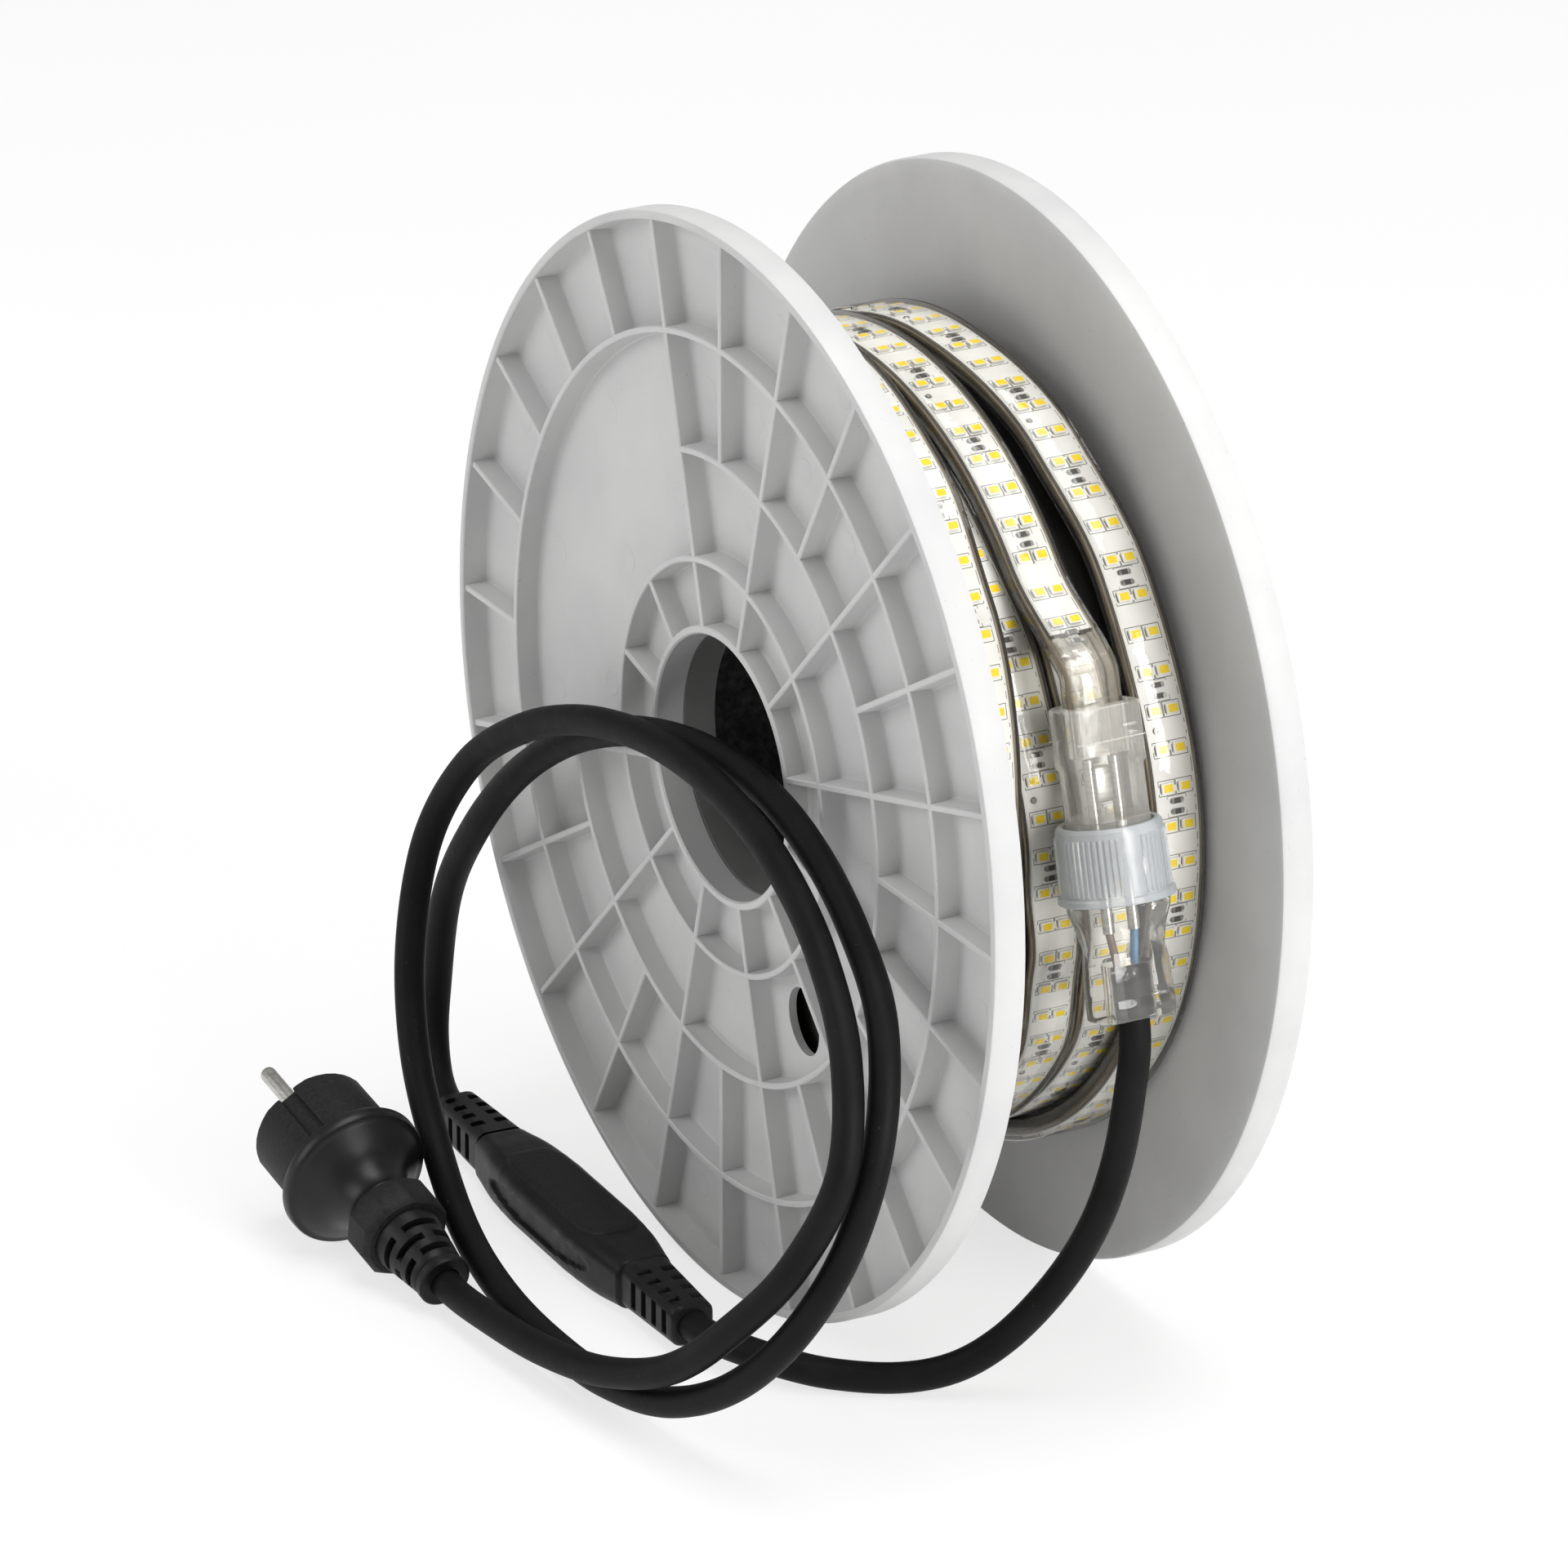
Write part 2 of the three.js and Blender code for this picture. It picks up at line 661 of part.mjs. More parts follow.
// Strain relief with cross slots in its top and sides, built from its root towards its tip
const cordSocket = 12;
const reliefRoot = boxLength / 2 + fitClearance;
function slottedRelief(root, tip) {
  const outline = roundedOutline(1, 1, 0.25);
  const body = lofted([
    sectionAt(outline, 0, root[0], root[1]),
    sectionAt(outline, reliefLength - reliefChamfer, tip[0], tip[1]),
    sectionAt(outline, reliefLength, tip[0] - reliefChamfer, tip[1] - reliefChamfer),
  ]);
  const boreStart = reliefLength - cordSocket - 2;
  const cuts = [rod(cordRadius + cordClearance, reliefLength, 20, boreStart)];
  for (let i = 0; i < slotCount; i += 1) {
    const along = reliefLength - firstSlot - i * slotPitch;
    const share = along / reliefLength;
    const width = THREE.MathUtils.lerp(root[0], tip[0], share);
    const height = THREE.MathUtils.lerp(root[1], tip[1], share);
    const reach = width / 2 - ridgeWidth / 2 - slotCorner;
    for (const side of [-1, 1]) {
      const middle = side * (ridgeWidth / 2 + reach / 2);
      cuts.push(box(reach, reliefSlotDepth * 2, slotWidth, middle, -height / 2, along));
      cuts.push(box(reliefSlotDepth * 2, height - 2 * slotInset, slotWidth, (side * width) / 2, 0, along));
    }
  }
  return geometryOf(cutAll(body, cuts));
}

for (const [side, name] of [[1, 'rectifier_relief_mains'], [-1, 'rectifier_relief_lead']]) {
  const relief = slottedRelief([reliefWidth, reliefHeight], [reliefEndWidth, reliefEndHeight]);
  const holder = new THREE.Group();
  holder.position.set(0, side * reliefRoot, boxHeight / 2);
  holder.rotation.set(-side * (Math.PI / 2), 0, 0);
  // The slotted top looks up at both ends of the box
  if (side < 0) {
    relief.rotateZ(Math.PI);
  }
  rectifier.add(holder);
  addPiece(holder, name, relief, toneBlackRubber);
}

// Plug frame: Z along the plug towards its pins
const plug = new THREE.Group();
const yaw = radians(plugYaw);
const pitch = radians(plugPitch);
const plugAxis = new THREE.Vector3(
  -Math.sin(yaw) * Math.cos(pitch),
  Math.cos(yaw) * Math.cos(pitch),
  Math.sin(pitch),
);
const plugSide = new THREE.Vector3(Math.cos(yaw), Math.sin(yaw), 0);
const plugDown = new THREE.Vector3().crossVectors(plugAxis, plugSide);
plug.position.copy(plugTail);
plug.setRotationFromMatrix(new THREE.Matrix4().makeBasis(plugSide, plugDown, plugAxis));
group.add(plug);
// Head frame: its X runs through both pins, turned so that one side looks up and forward
const head = new THREE.Group();
head.rotation.z = radians(plugRoll);
plug.add(head);

const headTop = plugLength;
const collarBottom = plugLength - headDepth - plugCollarLength;
const glandStart = plugReliefLength;
const neckStart = glandStart + glandLength;
const plugProfile = [
  [0, neckStart - 4],
  [neckRadius - 1.5, neckStart - 4],
  [neckRadius - 1.5, neckStart],
  [neckRadius + 0.6, neckStart + 0.3],
  [neckRadius, neckStart + 3],
  [neckRadius + 1.4, neckStart + 9],
  [neckRadius + 3.8, collarBottom - 6],
  [bellRadius, collarBottom - 2],
  [plugCollarRadius - 1, collarBottom],
  [plugCollarRadius, collarBottom + 1],
  [plugCollarRadius, collarBottom + plugCollarLength - 1],
  [plugCollarRadius - 1, collarBottom + plugCollarLength],
  [headRadius + 0.6, collarBottom + plugCollarLength],
  [headRadius, headTop - 1],
  [headRadius - 1, headTop],
  [0, headTop],
];
const plugRound = turned(plugProfile, 32);
const headMiddle = headTop - headDepth / 2;
const plugCuts = [];
for (const side of [-1, 1]) {
  const flatX = side * (headRadius - flatDepth + 4);
  plugCuts.push(box(8, flatWidth, headDepth, flatX, 0, headMiddle + 2));
  const grooveX = side * (headRadius - flatDepth - guideDepth + 4);
  plugCuts.push(box(8, guideWidth, headDepth, grooveX, 0, headMiddle + 2));
  const earthSlotY = side * (headRadius - earthSink + 4);
  plugCuts.push(box(earthWidth + 1, 8, headDepth, 0, earthSlotY, headMiddle + 2));
  const pinHole = rod(matingPinRadius + fitClearance, matingPinSeat + 1, 20, headTop - matingPinSeat);
  pinHole.translate((side * matingPinSpacing) / 2, 0, 0);
  plugCuts.push(pinHole);
}
addPiece(head, 'plug_body', geometryOf(cutAll(plugRound, plugCuts)), toneBlackRubber);

for (const [side, name] of [[-1, 'plug_pin_front'], [1, 'plug_pin_rear']]) {
  const tip = matingPinLength + headTop;
  const pin = turned(
    [
      [0, headTop - matingPinSeat + fitClearance],
      [matingPinRadius, headTop - matingPinSeat + fitClearance],
      [matingPinRadius, tip - 1.8],
      [matingPinRadius * 0.55, tip],
      [0, tip],
    ],
    20,
  );
  pin.translate((side * matingPinSpacing) / 2, 0, 0);
  addPiece(head, name, pin, toneMetal);
}

for (const [side, name] of [[-1, 'plug_earth_upper'], [1, 'plug_earth_lower']]) {
  const earthY = side * (headRadius - earthSink + fitClearance + earthThickness / 2);
  const strip = box(earthWidth, earthThickness, earthLength, 0, earthY, headTop - earthLength / 2 - 2);
  addPiece(head, name, strip, toneMetal);
}

const glandOuter = rod(glandRadius, glandLength - 2 * fitClearance, glandFacets, glandStart + fitClearance);
const glandCuts = [
  rod(neckRadius - 1.5 + fitClearance, 5, 32, neckStart - 4 - fitClearance),
];
addPiece(plug, 'plug_gland_nut', geometryOf(cutAll(glandOuter, glandCuts)), toneBlackRubber);

// Round strain relief on the plug, with a ring at its end and staggered cross slots
function plugReliefGeometry() {
  const profile = [
    [0, 0],
    [plugReliefRadius - 0.8, 0],
    [plugReliefRadius, 0.8],
    [plugReliefRadius, 3],
    [plugReliefRadius - 0.9, 3.6],
    [plugReliefRootRadius, plugReliefLength],
    [0, plugReliefLength],
  ];
  const cuts = [rod(cordRadius + cordClearance, 14, 20, -1)];
  for (let i = 0; i < 3; i += 1) {
    const along = 7 + i * 5;
    const radius = THREE.MathUtils.lerp(plugReliefRadius, plugReliefRootRadius, along / plugReliefLength);
    for (let k = 0; k < 4; k += 1) {
      const angle = (k * Math.PI) / 2 + (i % 2) * (Math.PI / 4);
      const slot = box(radius * 1.25, slotDepth * 2, slotWidth, 0, radius, along);
      slot.rotateZ(angle);
      cuts.push(slot);
    }
  }
  return geometryOf(cutAll(turned(profile, 24), cuts));
}
addPiece(plug, 'plug_strain_relief', plugReliefGeometry(), toneBlackRubber);

// Lead from the connector, down between the flanges, over the floor and into the rectifier box
group.updateMatrixWorld(true);
const leadStart = connector.localToWorld(new THREE.Vector3(0, 0, cordSeat));
const leadOut = connector.localToWorld(new THREE.Vector3(0, 0, leadEnd + 6));
const boxInlet = rectifier.localToWorld(
  new THREE.Vector3(0, -reliefRoot - reliefLength + cordSocket, boxHeight / 2),
);
const boxInletMouth = rectifier.localToWorld(
  new THREE.Vector3(0, -reliefRoot - reliefLength - 4, boxHeight / 2),
);
const leadRoute = [
  leadStart.toArray(),
  leadOut.toArray(),
  [2.4, -142.5, 104],
  [1, -138, 81],
  [-2, -131, 60],
  [-7.9, -119.8, 38.3],
  [-18, -107.2, 18.6],
  [-28.1, -98.5, 9.1],
  [-40.3, -89.5, 5],
  [-56.7, -78.5, 5.4],
  [-65.8, -71, 7.1],
  [-72, -63.2, 8.5],
  [-76.7, -53.5, 9],
  boxInletMouth.toArray(),
  boxInlet.toArray(),
];
addPiece(group, 'connector_lead', cordGeometry(leadRoute, 34), toneBlackRubber);

// Mains lead from the rectifier box through two loops that lean on the front flange, to the plug
const boxOutlet = rectifier.localToWorld(
  new THREE.Vector3(0, reliefRoot + reliefLength - cordSocket, boxHeight / 2),
);
const boxOutletMouth = rectifier.localToWorld(
  new THREE.Vector3(0, reliefRoot + reliefLength + 3, boxHeight / 2 + 0.2),
);
const plugInletMouth = plug.localToWorld(new THREE.Vector3(0, 0, -4));
const plugInlet = plug.localToWorld(new THREE.Vector3(0, 0, 11));
const mainsRoute = [
  boxOutlet.toArray(),
  boxOutletMouth.toArray(),
  [-67.6, 142.4, 12.3],
  [-64.3, 151.8, 22.7],
  [-61.6, 155.2, 36.2],
  [-61.3, 147.8, 68.7],
  [-61.1, 130, 95.6],
  [-59.4, 108.3, 119.4],
  [-57.9, 82.5, 138.6],
  [-56.9, 53.7, 153.1],
  [-56, 23, 163],
  [-55.6, -8.8, 168.2],
  [-56.1, -41, 168.1],
  [-58.3, -72.5, 161.9],
  [-62.5, -102.5, 150.7],
  [-69, -130, 135.4],
  [-78.6, -146.5, 110],
  [-89.3, -148.5, 79.8],
  [-99.5, -137.3, 51.6],
  [-107.3, -115.5, 28],
  [-112.8, -87.2, 12.8],
  [-115.3, -55.8, 6.1],
  [-115.6, -23.6, 4.8],
  [-114.4, 9, 6.7],
  [-109.8, 42.2, 11.9],
  [-102.8, 73.8, 23.6],
  [-98.5, 96.2, 45.3],
  [-91.4, 112.5, 71.4],
  [-83.1, 117, 101.9],
  [-77.1, 102.3, 129.4],
  [-73.3, 76.8, 148.7],
  [-70.3, 47.4, 161.6],
  [-68, 16, 168.4],
  [-67, -16.2, 169.7],
  [-67.7, -48.2, 166.2],
  [-70.6, -79.4, 158.6],
  [-75.9, -109.1, 147.2],
  [-82.8, -134.7, 129],
  [-91.8, -148.8, 102.2],
  [-102.2, -140.6, 73.2],
  [-110.8, -121.4, 48.9],
  [-116.8, -96.6, 27.9],
  [-121.9, -67.5, 16],
  [-125, -35.9, 10.1],
  [-126.8, -3.8, 8.1],
  plugInletMouth.toArray(),
  plugInlet.toArray(),
];
addPiece(group, 'mains_lead', cordGeometry(mainsRoute, 78), toneBlackRubber);

export default group;
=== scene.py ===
"""Looks for the LED strip light on its reel: flanges, wound strip, connector, leads, box and plug."""

import math
import random

import bmesh
import bpy
import numpy as np
from mathutils import Matrix, Vector


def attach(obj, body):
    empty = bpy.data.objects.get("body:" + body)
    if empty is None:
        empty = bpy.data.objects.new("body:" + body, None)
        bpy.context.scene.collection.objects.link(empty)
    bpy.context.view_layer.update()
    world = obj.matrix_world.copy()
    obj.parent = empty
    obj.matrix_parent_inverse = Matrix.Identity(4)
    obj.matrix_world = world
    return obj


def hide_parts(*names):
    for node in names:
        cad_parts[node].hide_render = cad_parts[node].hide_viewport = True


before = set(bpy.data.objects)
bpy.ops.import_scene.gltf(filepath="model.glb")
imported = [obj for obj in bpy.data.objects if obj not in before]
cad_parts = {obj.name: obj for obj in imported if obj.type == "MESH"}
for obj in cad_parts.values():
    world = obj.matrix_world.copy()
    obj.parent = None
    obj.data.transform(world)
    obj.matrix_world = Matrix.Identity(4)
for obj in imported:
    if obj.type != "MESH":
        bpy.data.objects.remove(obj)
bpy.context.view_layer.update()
random.seed(7)
MM = 0.001

# Sizes shared with the CAD part, in millimetres
AXIS_HEIGHT = 159.848
FLANGE_RADIUS = 159.8
FLANGE_INNER_FACE = 40.5
FLANGE_THICKNESS = 10.0
WEB = 2.4
RIB_TOP = 9.2
RIM_INNER = 157.0
BORE_RADIUS = 38.5
HUB_OUTER = 40.9
RINGS = (60.0, 91.5, 125.5)
BLANK_FROM, BLANK_TO = 255, 345
BARREL_RADIUS = 52.0
FOAM_INNER = 38.8
FOAM_HALF = 30.2
LAYER_TOP = 121.5
LOWER_TOP = 114.3
CORD_RADIUS = 4.5
CORD_SOCKET = 12.0

# Frames of the connector, the rectifier box and the plug
CONNECTOR_PLACE = Vector((3, -130.8, 169.748))
CONNECTOR_LEAN = 15.4
NUT_TOP, NUT_BOTTOM = -10.7, 10.7
SOCKET_TOP = -43.7
LEAD_SHOULDER = 11.0
LEAD_END = 44.0
BOX_PLACE = Vector((-74.5, 44.3, 0))
BOX_TURN = -2.93
BOX_LENGTH, BOX_WIDTH, BOX_HEIGHT = 100.0, 24.0, 17.5
BOX_END_WIDTH, BOX_TAPER = 17.0, 24.0
BOX_CORNER = 4.4
LENS_HALF_LENGTH, LENS_HALF_HEIGHT, LENS_DEPTH = 35, 3.9, 1.2
PANEL_RISE = 0.8
RELIEF_ROOT = BOX_LENGTH / 2 + 0.3
RELIEF_LENGTH = 32.0
RELIEF_WIDTH, RELIEF_NARROWING = 15.2, 2.2
RELIEF_HEIGHT, RELIEF_LOWERING = 14.2, 1.6
RELIEF_CORNER = 3.4
RELIEF_FIRST_SLOT, RELIEF_SLOT_PITCH = 5.5, 6.4
PLUG_TAIL = Vector((-127.5, 21, 8.9))
PLUG_PITCH, PLUG_YAW, PLUG_ROLL = 13.7, 2.5, 54
PLUG_LENGTH = 80.5
HEAD_RADIUS, FLAT_DEPTH, GROOVE_DEPTH = 18.6, 1.5, 3.1
WORLD_LIGHT = 0.36


def on_drum(x, radius, angle):
    """A point at an angle, clockwise from the top as seen from the front flange."""
    a = math.radians(angle)
    return (x, -radius * math.sin(a), AXIS_HEIGHT + radius * math.cos(a))


def add_object(name, data):
    made = bpy.data.objects.new(name, data)
    bpy.context.collection.objects.link(made)
    return made


def basis(place, x, y, z):
    rows = Matrix((x, y, z)).transposed().to_4x4()
    rows.translation = place
    return rows


connector_frame = Matrix.Translation(CONNECTOR_PLACE) @ Matrix.Rotation(
    math.pi - math.radians(CONNECTOR_LEAN), 4, "X"
)
box_frame = Matrix.Translation(BOX_PLACE) @ Matrix.Rotation(math.radians(BOX_TURN), 4, "Z")
pitch, yaw = math.radians(PLUG_PITCH), math.radians(PLUG_YAW)
plug_axis = Vector((-math.sin(yaw) * math.cos(pitch), math.cos(yaw) * math.cos(pitch), math.sin(pitch)))
plug_side = Vector((math.cos(yaw), math.sin(yaw), 0))
plug_frame = basis(PLUG_TAIL, plug_side, plug_axis.cross(plug_side), plug_axis)
head_frame = plug_frame @ Matrix.Rotation(math.radians(PLUG_ROLL), 4, "Z")


# Camera, from the photograph: a long lens from the left front, a little above
def make_camera():
    azimuth, elevation, distance = math.radians(-28.5), math.radians(22.53), 3570.18
    across, up_shift = -25.44, -13.65
    flat = math.cos(elevation)
    back = Vector((math.sin(azimuth) * flat, -math.cos(azimuth) * flat, math.sin(elevation)))
    right = Vector((math.cos(azimuth), math.sin(azimuth), 0))
    up = back.cross(right)
    data = bpy.data.cameras.new("camera")
    data.lens, data.sensor_width = 288.8, 36
    data.clip_start, data.clip_end = 0.1, 60
    camera = add_object("camera", data)
    place = back * distance + right * across + up * up_shift + Vector((0, 0, 160))
    camera.matrix_world = basis(place * MM, right, up, back)
    bpy.context.scene.camera = camera


make_camera()


# Materials: noise in object coordinates feeds a Principled shader, or the mix of shaders of a clear skin
SHADES = {}


def srgb(red, green, blue):
    values = []
    for level in (red, green, blue):
        c = level / 255
        values.append(c / 12.92 if c <= 0.04045 else ((c + 0.055) / 1.055) ** 2.4)
    return (*values, 1.0)


def new_node(tree, kind, **sockets):
    """A node with values on the named sockets."""
    made = tree.nodes.new("ShaderNode" + kind)
    for socket, value in sockets.items():
        made.inputs[socket.replace("_", " ")].default_value = value
    return made


def mix_shaders(tree, share, first, second):
    """Blends two shaders by a number or by another node's output."""
    mix = new_node(tree, "MixShader")
    if isinstance(share, float):
        mix.inputs["Fac"].default_value = share
    else:
        tree.links.new(share, mix.inputs["Fac"])
    tree.links.new(first, mix.inputs[1])
    tree.links.new(second, mix.inputs[2])
    return mix.outputs["Shader"]


class Shade:
    def __init__(self, key, name, roughness, specular=0.5, metallic=0.0):
        self.material = bpy.data.materials.new(name)
        self.material.use_nodes = True
        self.tree = self.material.node_tree
        self.shader = self.tree.nodes["Principled BSDF"]
        values = {"Roughness": roughness, "Specular IOR Level": specular, "Metallic": metallic}
        for socket, value in values.items():
            self.shader.inputs[socket].default_value = value
        self.height = None
        SHADES[key] = self.material

    def link(self, source, target):
        self.tree.links.new(source, target)

    def noise(self, scale, detail=3, stretch=(1, 1, 1), roughness=0.55):
        coords = new_node(self.tree, "TexCoord")
        mapping = new_node(self.tree, "Mapping", Scale=stretch)
        texture = new_node(self.tree, "TexNoise", Scale=scale, Detail=detail, Roughness=roughness)
        self.link(coords.outputs["Object"], mapping.inputs["Vector"])
        self.link(mapping.outputs["Vector"], texture.inputs["Vector"])
        return texture.outputs["Fac"]

    def ramp(self, value, low, high, first, last):
        ramp = new_node(self.tree, "ValToRGB")
        for stop, place, tone in zip(ramp.color_ramp.elements, (low, high), (first, last)):
            stop.position, stop.color = place, tone
        self.link(value, ramp.inputs["Fac"])
        return ramp.outputs["Color"]

    def colour(self, first, last, scale, low=0.35, high=0.65, detail=3, stretch=(1, 1, 1)):
        """Base colour that wanders between two tones, given as levels from 0 to 255."""
        self.tone = self.ramp(self.noise(scale, detail, stretch), low, high, srgb(*first), srgb(*last))
        self.link(self.tone, self.shader.inputs["Base Color"])
        return self

    def specks(self, colour, scale, low, high, amount):
        """Dust or pits over the base colour, where fine noise passes a level."""
        mask = self.ramp(self.noise(scale, 2), low, high, (0, 0, 0, 1), (amount, amount, amount, 1))
        mix = new_node(self.tree, "Mix")
        mix.data_type = "RGBA"
        mix.inputs["B"].default_value = srgb(*colour)
        self.link(mask, mix.inputs["Factor"])
        self.link(self.tone, mix.inputs["A"])
        self.link(mix.outputs["Result"], self.shader.inputs["Base Color"])
        return self

    def rough(self, low, high, scale):
        spread = new_node(self.tree, "MapRange", To_Min=low, To_Max=high)
        self.link(self.noise(scale), spread.inputs["Value"])
        self.link(spread.outputs["Result"], self.shader.inputs["Roughness"])
        return self

    def bump(self, scale, distance, detail=3, stretch=(1, 1, 1)):
        """One more layer of relief, distance in millimetres."""
        layer = new_node(self.tree, "Bump", Distance=distance * MM, Strength=1.0)
        self.link(self.noise(scale, detail, stretch), layer.inputs["Height"])
        if self.height is not None:
            self.link(self.height, layer.inputs["Normal"])
        self.height = layer.outputs["Normal"]
        self.link(self.height, self.shader.inputs["Normal"])
        return self


def plain_shades():
    flange = Shade("flange", "flange_plastic", 0.5, specular=0.4)
    flange.colour((194, 194, 194), (203, 203, 202), 22, detail=5)
    flange.specks((150, 149, 146), 700, 0.72, 0.78, 0.5)
    flange.rough(0.42, 0.6, 60).bump(1500, 0.03).bump(60, 0.06)

    barrel = Shade("barrel", "barrel_plastic", 0.6).colour((112, 112, 111), (126, 126, 125), 40)
    barrel.bump(1200, 0.04).bump(90, 0.1)

    foam = Shade("foam", "black_foam", 0.95, specular=0.15)
    foam.colour((30, 30, 30), (54, 54, 54), 350, 0.4, 0.7, detail=6).bump(420, 0.9, 5).bump(1400, 0.3)

    # Painted shade: the strip's body under the board is dark brown so that the gaps between turns look shaded
    core = Shade("core", "strip_core_painted_shade", 0.35)
    core.colour((58, 53, 47), (116, 108, 97), 30, stretch=(14, 1, 1))
    core.rough(0.2, 0.5, 200).bump(200, 0.3, stretch=(10, 1, 1))

    # Painted shade: the inner layers are near-black so the start hole and the gaps between turns look dark,
    # as if in deep shade
    deep_painted_shade = Shade("deep_painted_shade", "inner_layers_painted_shade", 0.6)
    deep_painted_shade.colour((24, 22, 20), (44, 41, 37), 40, stretch=(14, 1, 1)).bump(200, 0.3, stretch=(10, 1, 1))

    board = Shade("board", "circuit_board", 0.32)
    board.colour((236, 236, 234), (247, 247, 245), 90, detail=4).bump(300, 0.05, stretch=(3, 1, 1))

    Shade("package", "led_package", 0.35, 0.3).colour((232, 231, 226), (250, 249, 245), 300).bump(900, 0.02)

    phosphor = Shade("phosphor", "led_phosphor", 0.4, specular=0.15)
    phosphor.colour((255, 214, 0), (255, 232, 0), 900, detail=4).bump(2500, 0.04)

    Shade("ink", "board_outline", 0.5).colour((66, 65, 64), (92, 91, 89), 500)
    Shade("chip", "resistor_body", 0.4).colour((28, 28, 30), (52, 52, 54), 700).bump(1500, 0.03)

    solder = Shade("solder", "solder", 0.35, metallic=0.8)
    solder.colour((120, 119, 116), (180, 178, 174), 900).bump(900, 0.08)

    wire = Shade("wire", "bus_wire", 0.35, metallic=0.35)
    wire.colour((128, 115, 96), (172, 160, 140), 60, stretch=(12, 1, 1))
    wire.rough(0.25, 0.5, 300).bump(700, 0.12)

    rubber = Shade("rubber", "cord_rubber", 0.5, specular=0.13)
    rubber.colour((12, 12, 12), (20, 20, 20), 45, detail=5).specks((70, 70, 69), 620, 0.72, 0.78, 0.4)
    rubber.rough(0.46, 0.66, 180).bump(1600, 0.05).bump(240, 0.08)

    moulded = Shade("moulded", "moulded_rubber", 0.45, specular=0.24)
    moulded.colour((12, 12, 12), (21, 21, 21), 70, detail=5).specks((64, 64, 64), 560, 0.73, 0.79, 0.35)
    moulded.rough(0.34, 0.55, 220).bump(1300, 0.05)

    grained = Shade("grained", "grained_plastic", 0.55, specular=0.26)
    grained.colour((17, 17, 17), (31, 31, 31), 900, 0.4, 0.66, detail=4)
    grained.rough(0.45, 0.7, 900).bump(1000, 0.16, 4)

    gloss = Shade("gloss", "polished_plastic", 0.22, specular=0.36)
    gloss.colour((9, 9, 9), (17, 17, 17), 60, detail=5).specks((60, 60, 60), 560, 0.74, 0.8, 0.3)
    gloss.rough(0.3, 0.48, 160).bump(300, 0.04)

    metal = Shade("metal", "plated_metal", 0.28, metallic=1.0)
    metal.colour((176, 174, 169), (206, 204, 199), 120, stretch=(1, 1, 8))
    metal.rough(0.2, 0.42, 700).bump(1100, 0.03)

    Shade("blue", "blue_insulation", 0.4).colour((70, 120, 165), (96, 148, 190), 200).bump(900, 0.03)
    Shade("brown", "brown_insulation", 0.4).colour((104, 84, 74), (132, 110, 98), 200).bump(900, 0.03)


def clear_skin(key, name, veil, tint, shine_roughness):
    """Thin clear plastic: open where it's seen square on, mirror-like at a slant, with a faint haze."""
    shade = Shade(key, name, shine_roughness)
    tree = shade.tree
    tree.nodes.remove(shade.shader)
    bump = new_node(tree, "Bump", Distance=0.2 * MM)
    fresnel = new_node(tree, "Fresnel", IOR=1.5)
    clear = new_node(tree, "BsdfTransparent", Color=(0.985, 0.98, 0.965, 1))
    shine = new_node(tree, "BsdfGlossy", Color=(0.9, 0.9, 0.89, 1), Roughness=shine_roughness)
    haze = new_node(tree, "BsdfDiffuse", Color=srgb(*tint))
    shade.link(shade.noise(160, 2, roughness=0.5), bump.inputs["Height"])
    for bumpy in (fresnel, shine):
        shade.link(bump.outputs["Normal"], bumpy.inputs["Normal"])
    glass = mix_shaders(tree, fresnel.outputs["Fac"], clear.outputs["BSDF"], shine.outputs["BSDF"])
    veiled = mix_shaders(tree, veil, glass, haze.outputs["BSDF"])
    shade.link(veiled, tree.nodes["Material Output"].inputs["Surface"])


plain_shades()
clear_skin("clear", "clear_plastic", 0.19, (246, 243, 236), 0.14)
clear_skin("clearer", "clear_lead_plastic", 0.07, (246, 244, 238), 0.12)
clear_skin("frosted", "frosted_plastic", 0.34, (218, 223, 227), 0.22)
clear_skin("tail", "clear_tail", 0.2, (238, 231, 217), 0.1)
clear_skin("skin", "clear_strip_skin", 0.04, (226, 222, 212), 0.07)


# Mesh code: shapes are written in millimetres
class Piece:
    def __init__(self):
        self.verts, self.faces, self.slots = [], [], []

    def add(self, verts, faces, slot=0):
        start = len(self.verts)
        self.verts.extend(tuple(v) for v in verts)
        self.faces.extend(tuple(i + start for i in face) for face in faces)
        self.slots.extend([slot] * len(faces))

    def skin(self, rows, slot=0, around=True, along=False, caps=(True, True)):
        """Quads over rows of equally many points."""
        rows = [list(row) for row in rows]
        count, total = len(rows[0]), len(rows)
        faces = []
        for r in range(total if along else total - 1):
            a, b = r * count, ((r + 1) % total) * count
            for i in range(count if around else count - 1):
                j = (i + 1) % count
                faces.append((a + i, a + j, b + j, b + i))
        if not along and caps[0]:
            faces.append(tuple(reversed(range(count))))
        if not along and caps[1]:
            faces.append(tuple(range((total - 1) * count, total * count)))
        self.add([p for row in rows for p in row], faces, slot)
        return self

    def make(self, name, shades, slot, body="reel", place=Matrix.Identity(4), smooth=38, replaces=()):
        mesh = bpy.data.meshes.new(name)
        mesh.from_pydata([(place @ Vector(v)) * MM for v in self.verts], [], self.faces)
        for shade in shades:
            mesh.materials.append(SHADES[shade])
        mesh.polygons.foreach_set("material_index", self.slots)
        tidy = bmesh.new()
        tidy.from_mesh(mesh)
        bmesh.ops.recalc_face_normals(tidy, faces=tidy.faces)
        tidy.to_mesh(mesh)
        tidy.free()
        mesh.shade_smooth()
        mesh.set_sharp_from_angle(angle=math.radians(smooth))
        made = add_object(name, mesh)
        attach(made, body)
        if replaces:
            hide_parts(*replaces)
        return made


def lathe(piece, profile, segments):
    """Turns [x, radius] pairs about the reel's axis."""
    rows = [[on_drum(x, r, 360 * k / segments) for x, r in profile] for k in range(segments)]
    return piece.skin(rows, along=True)


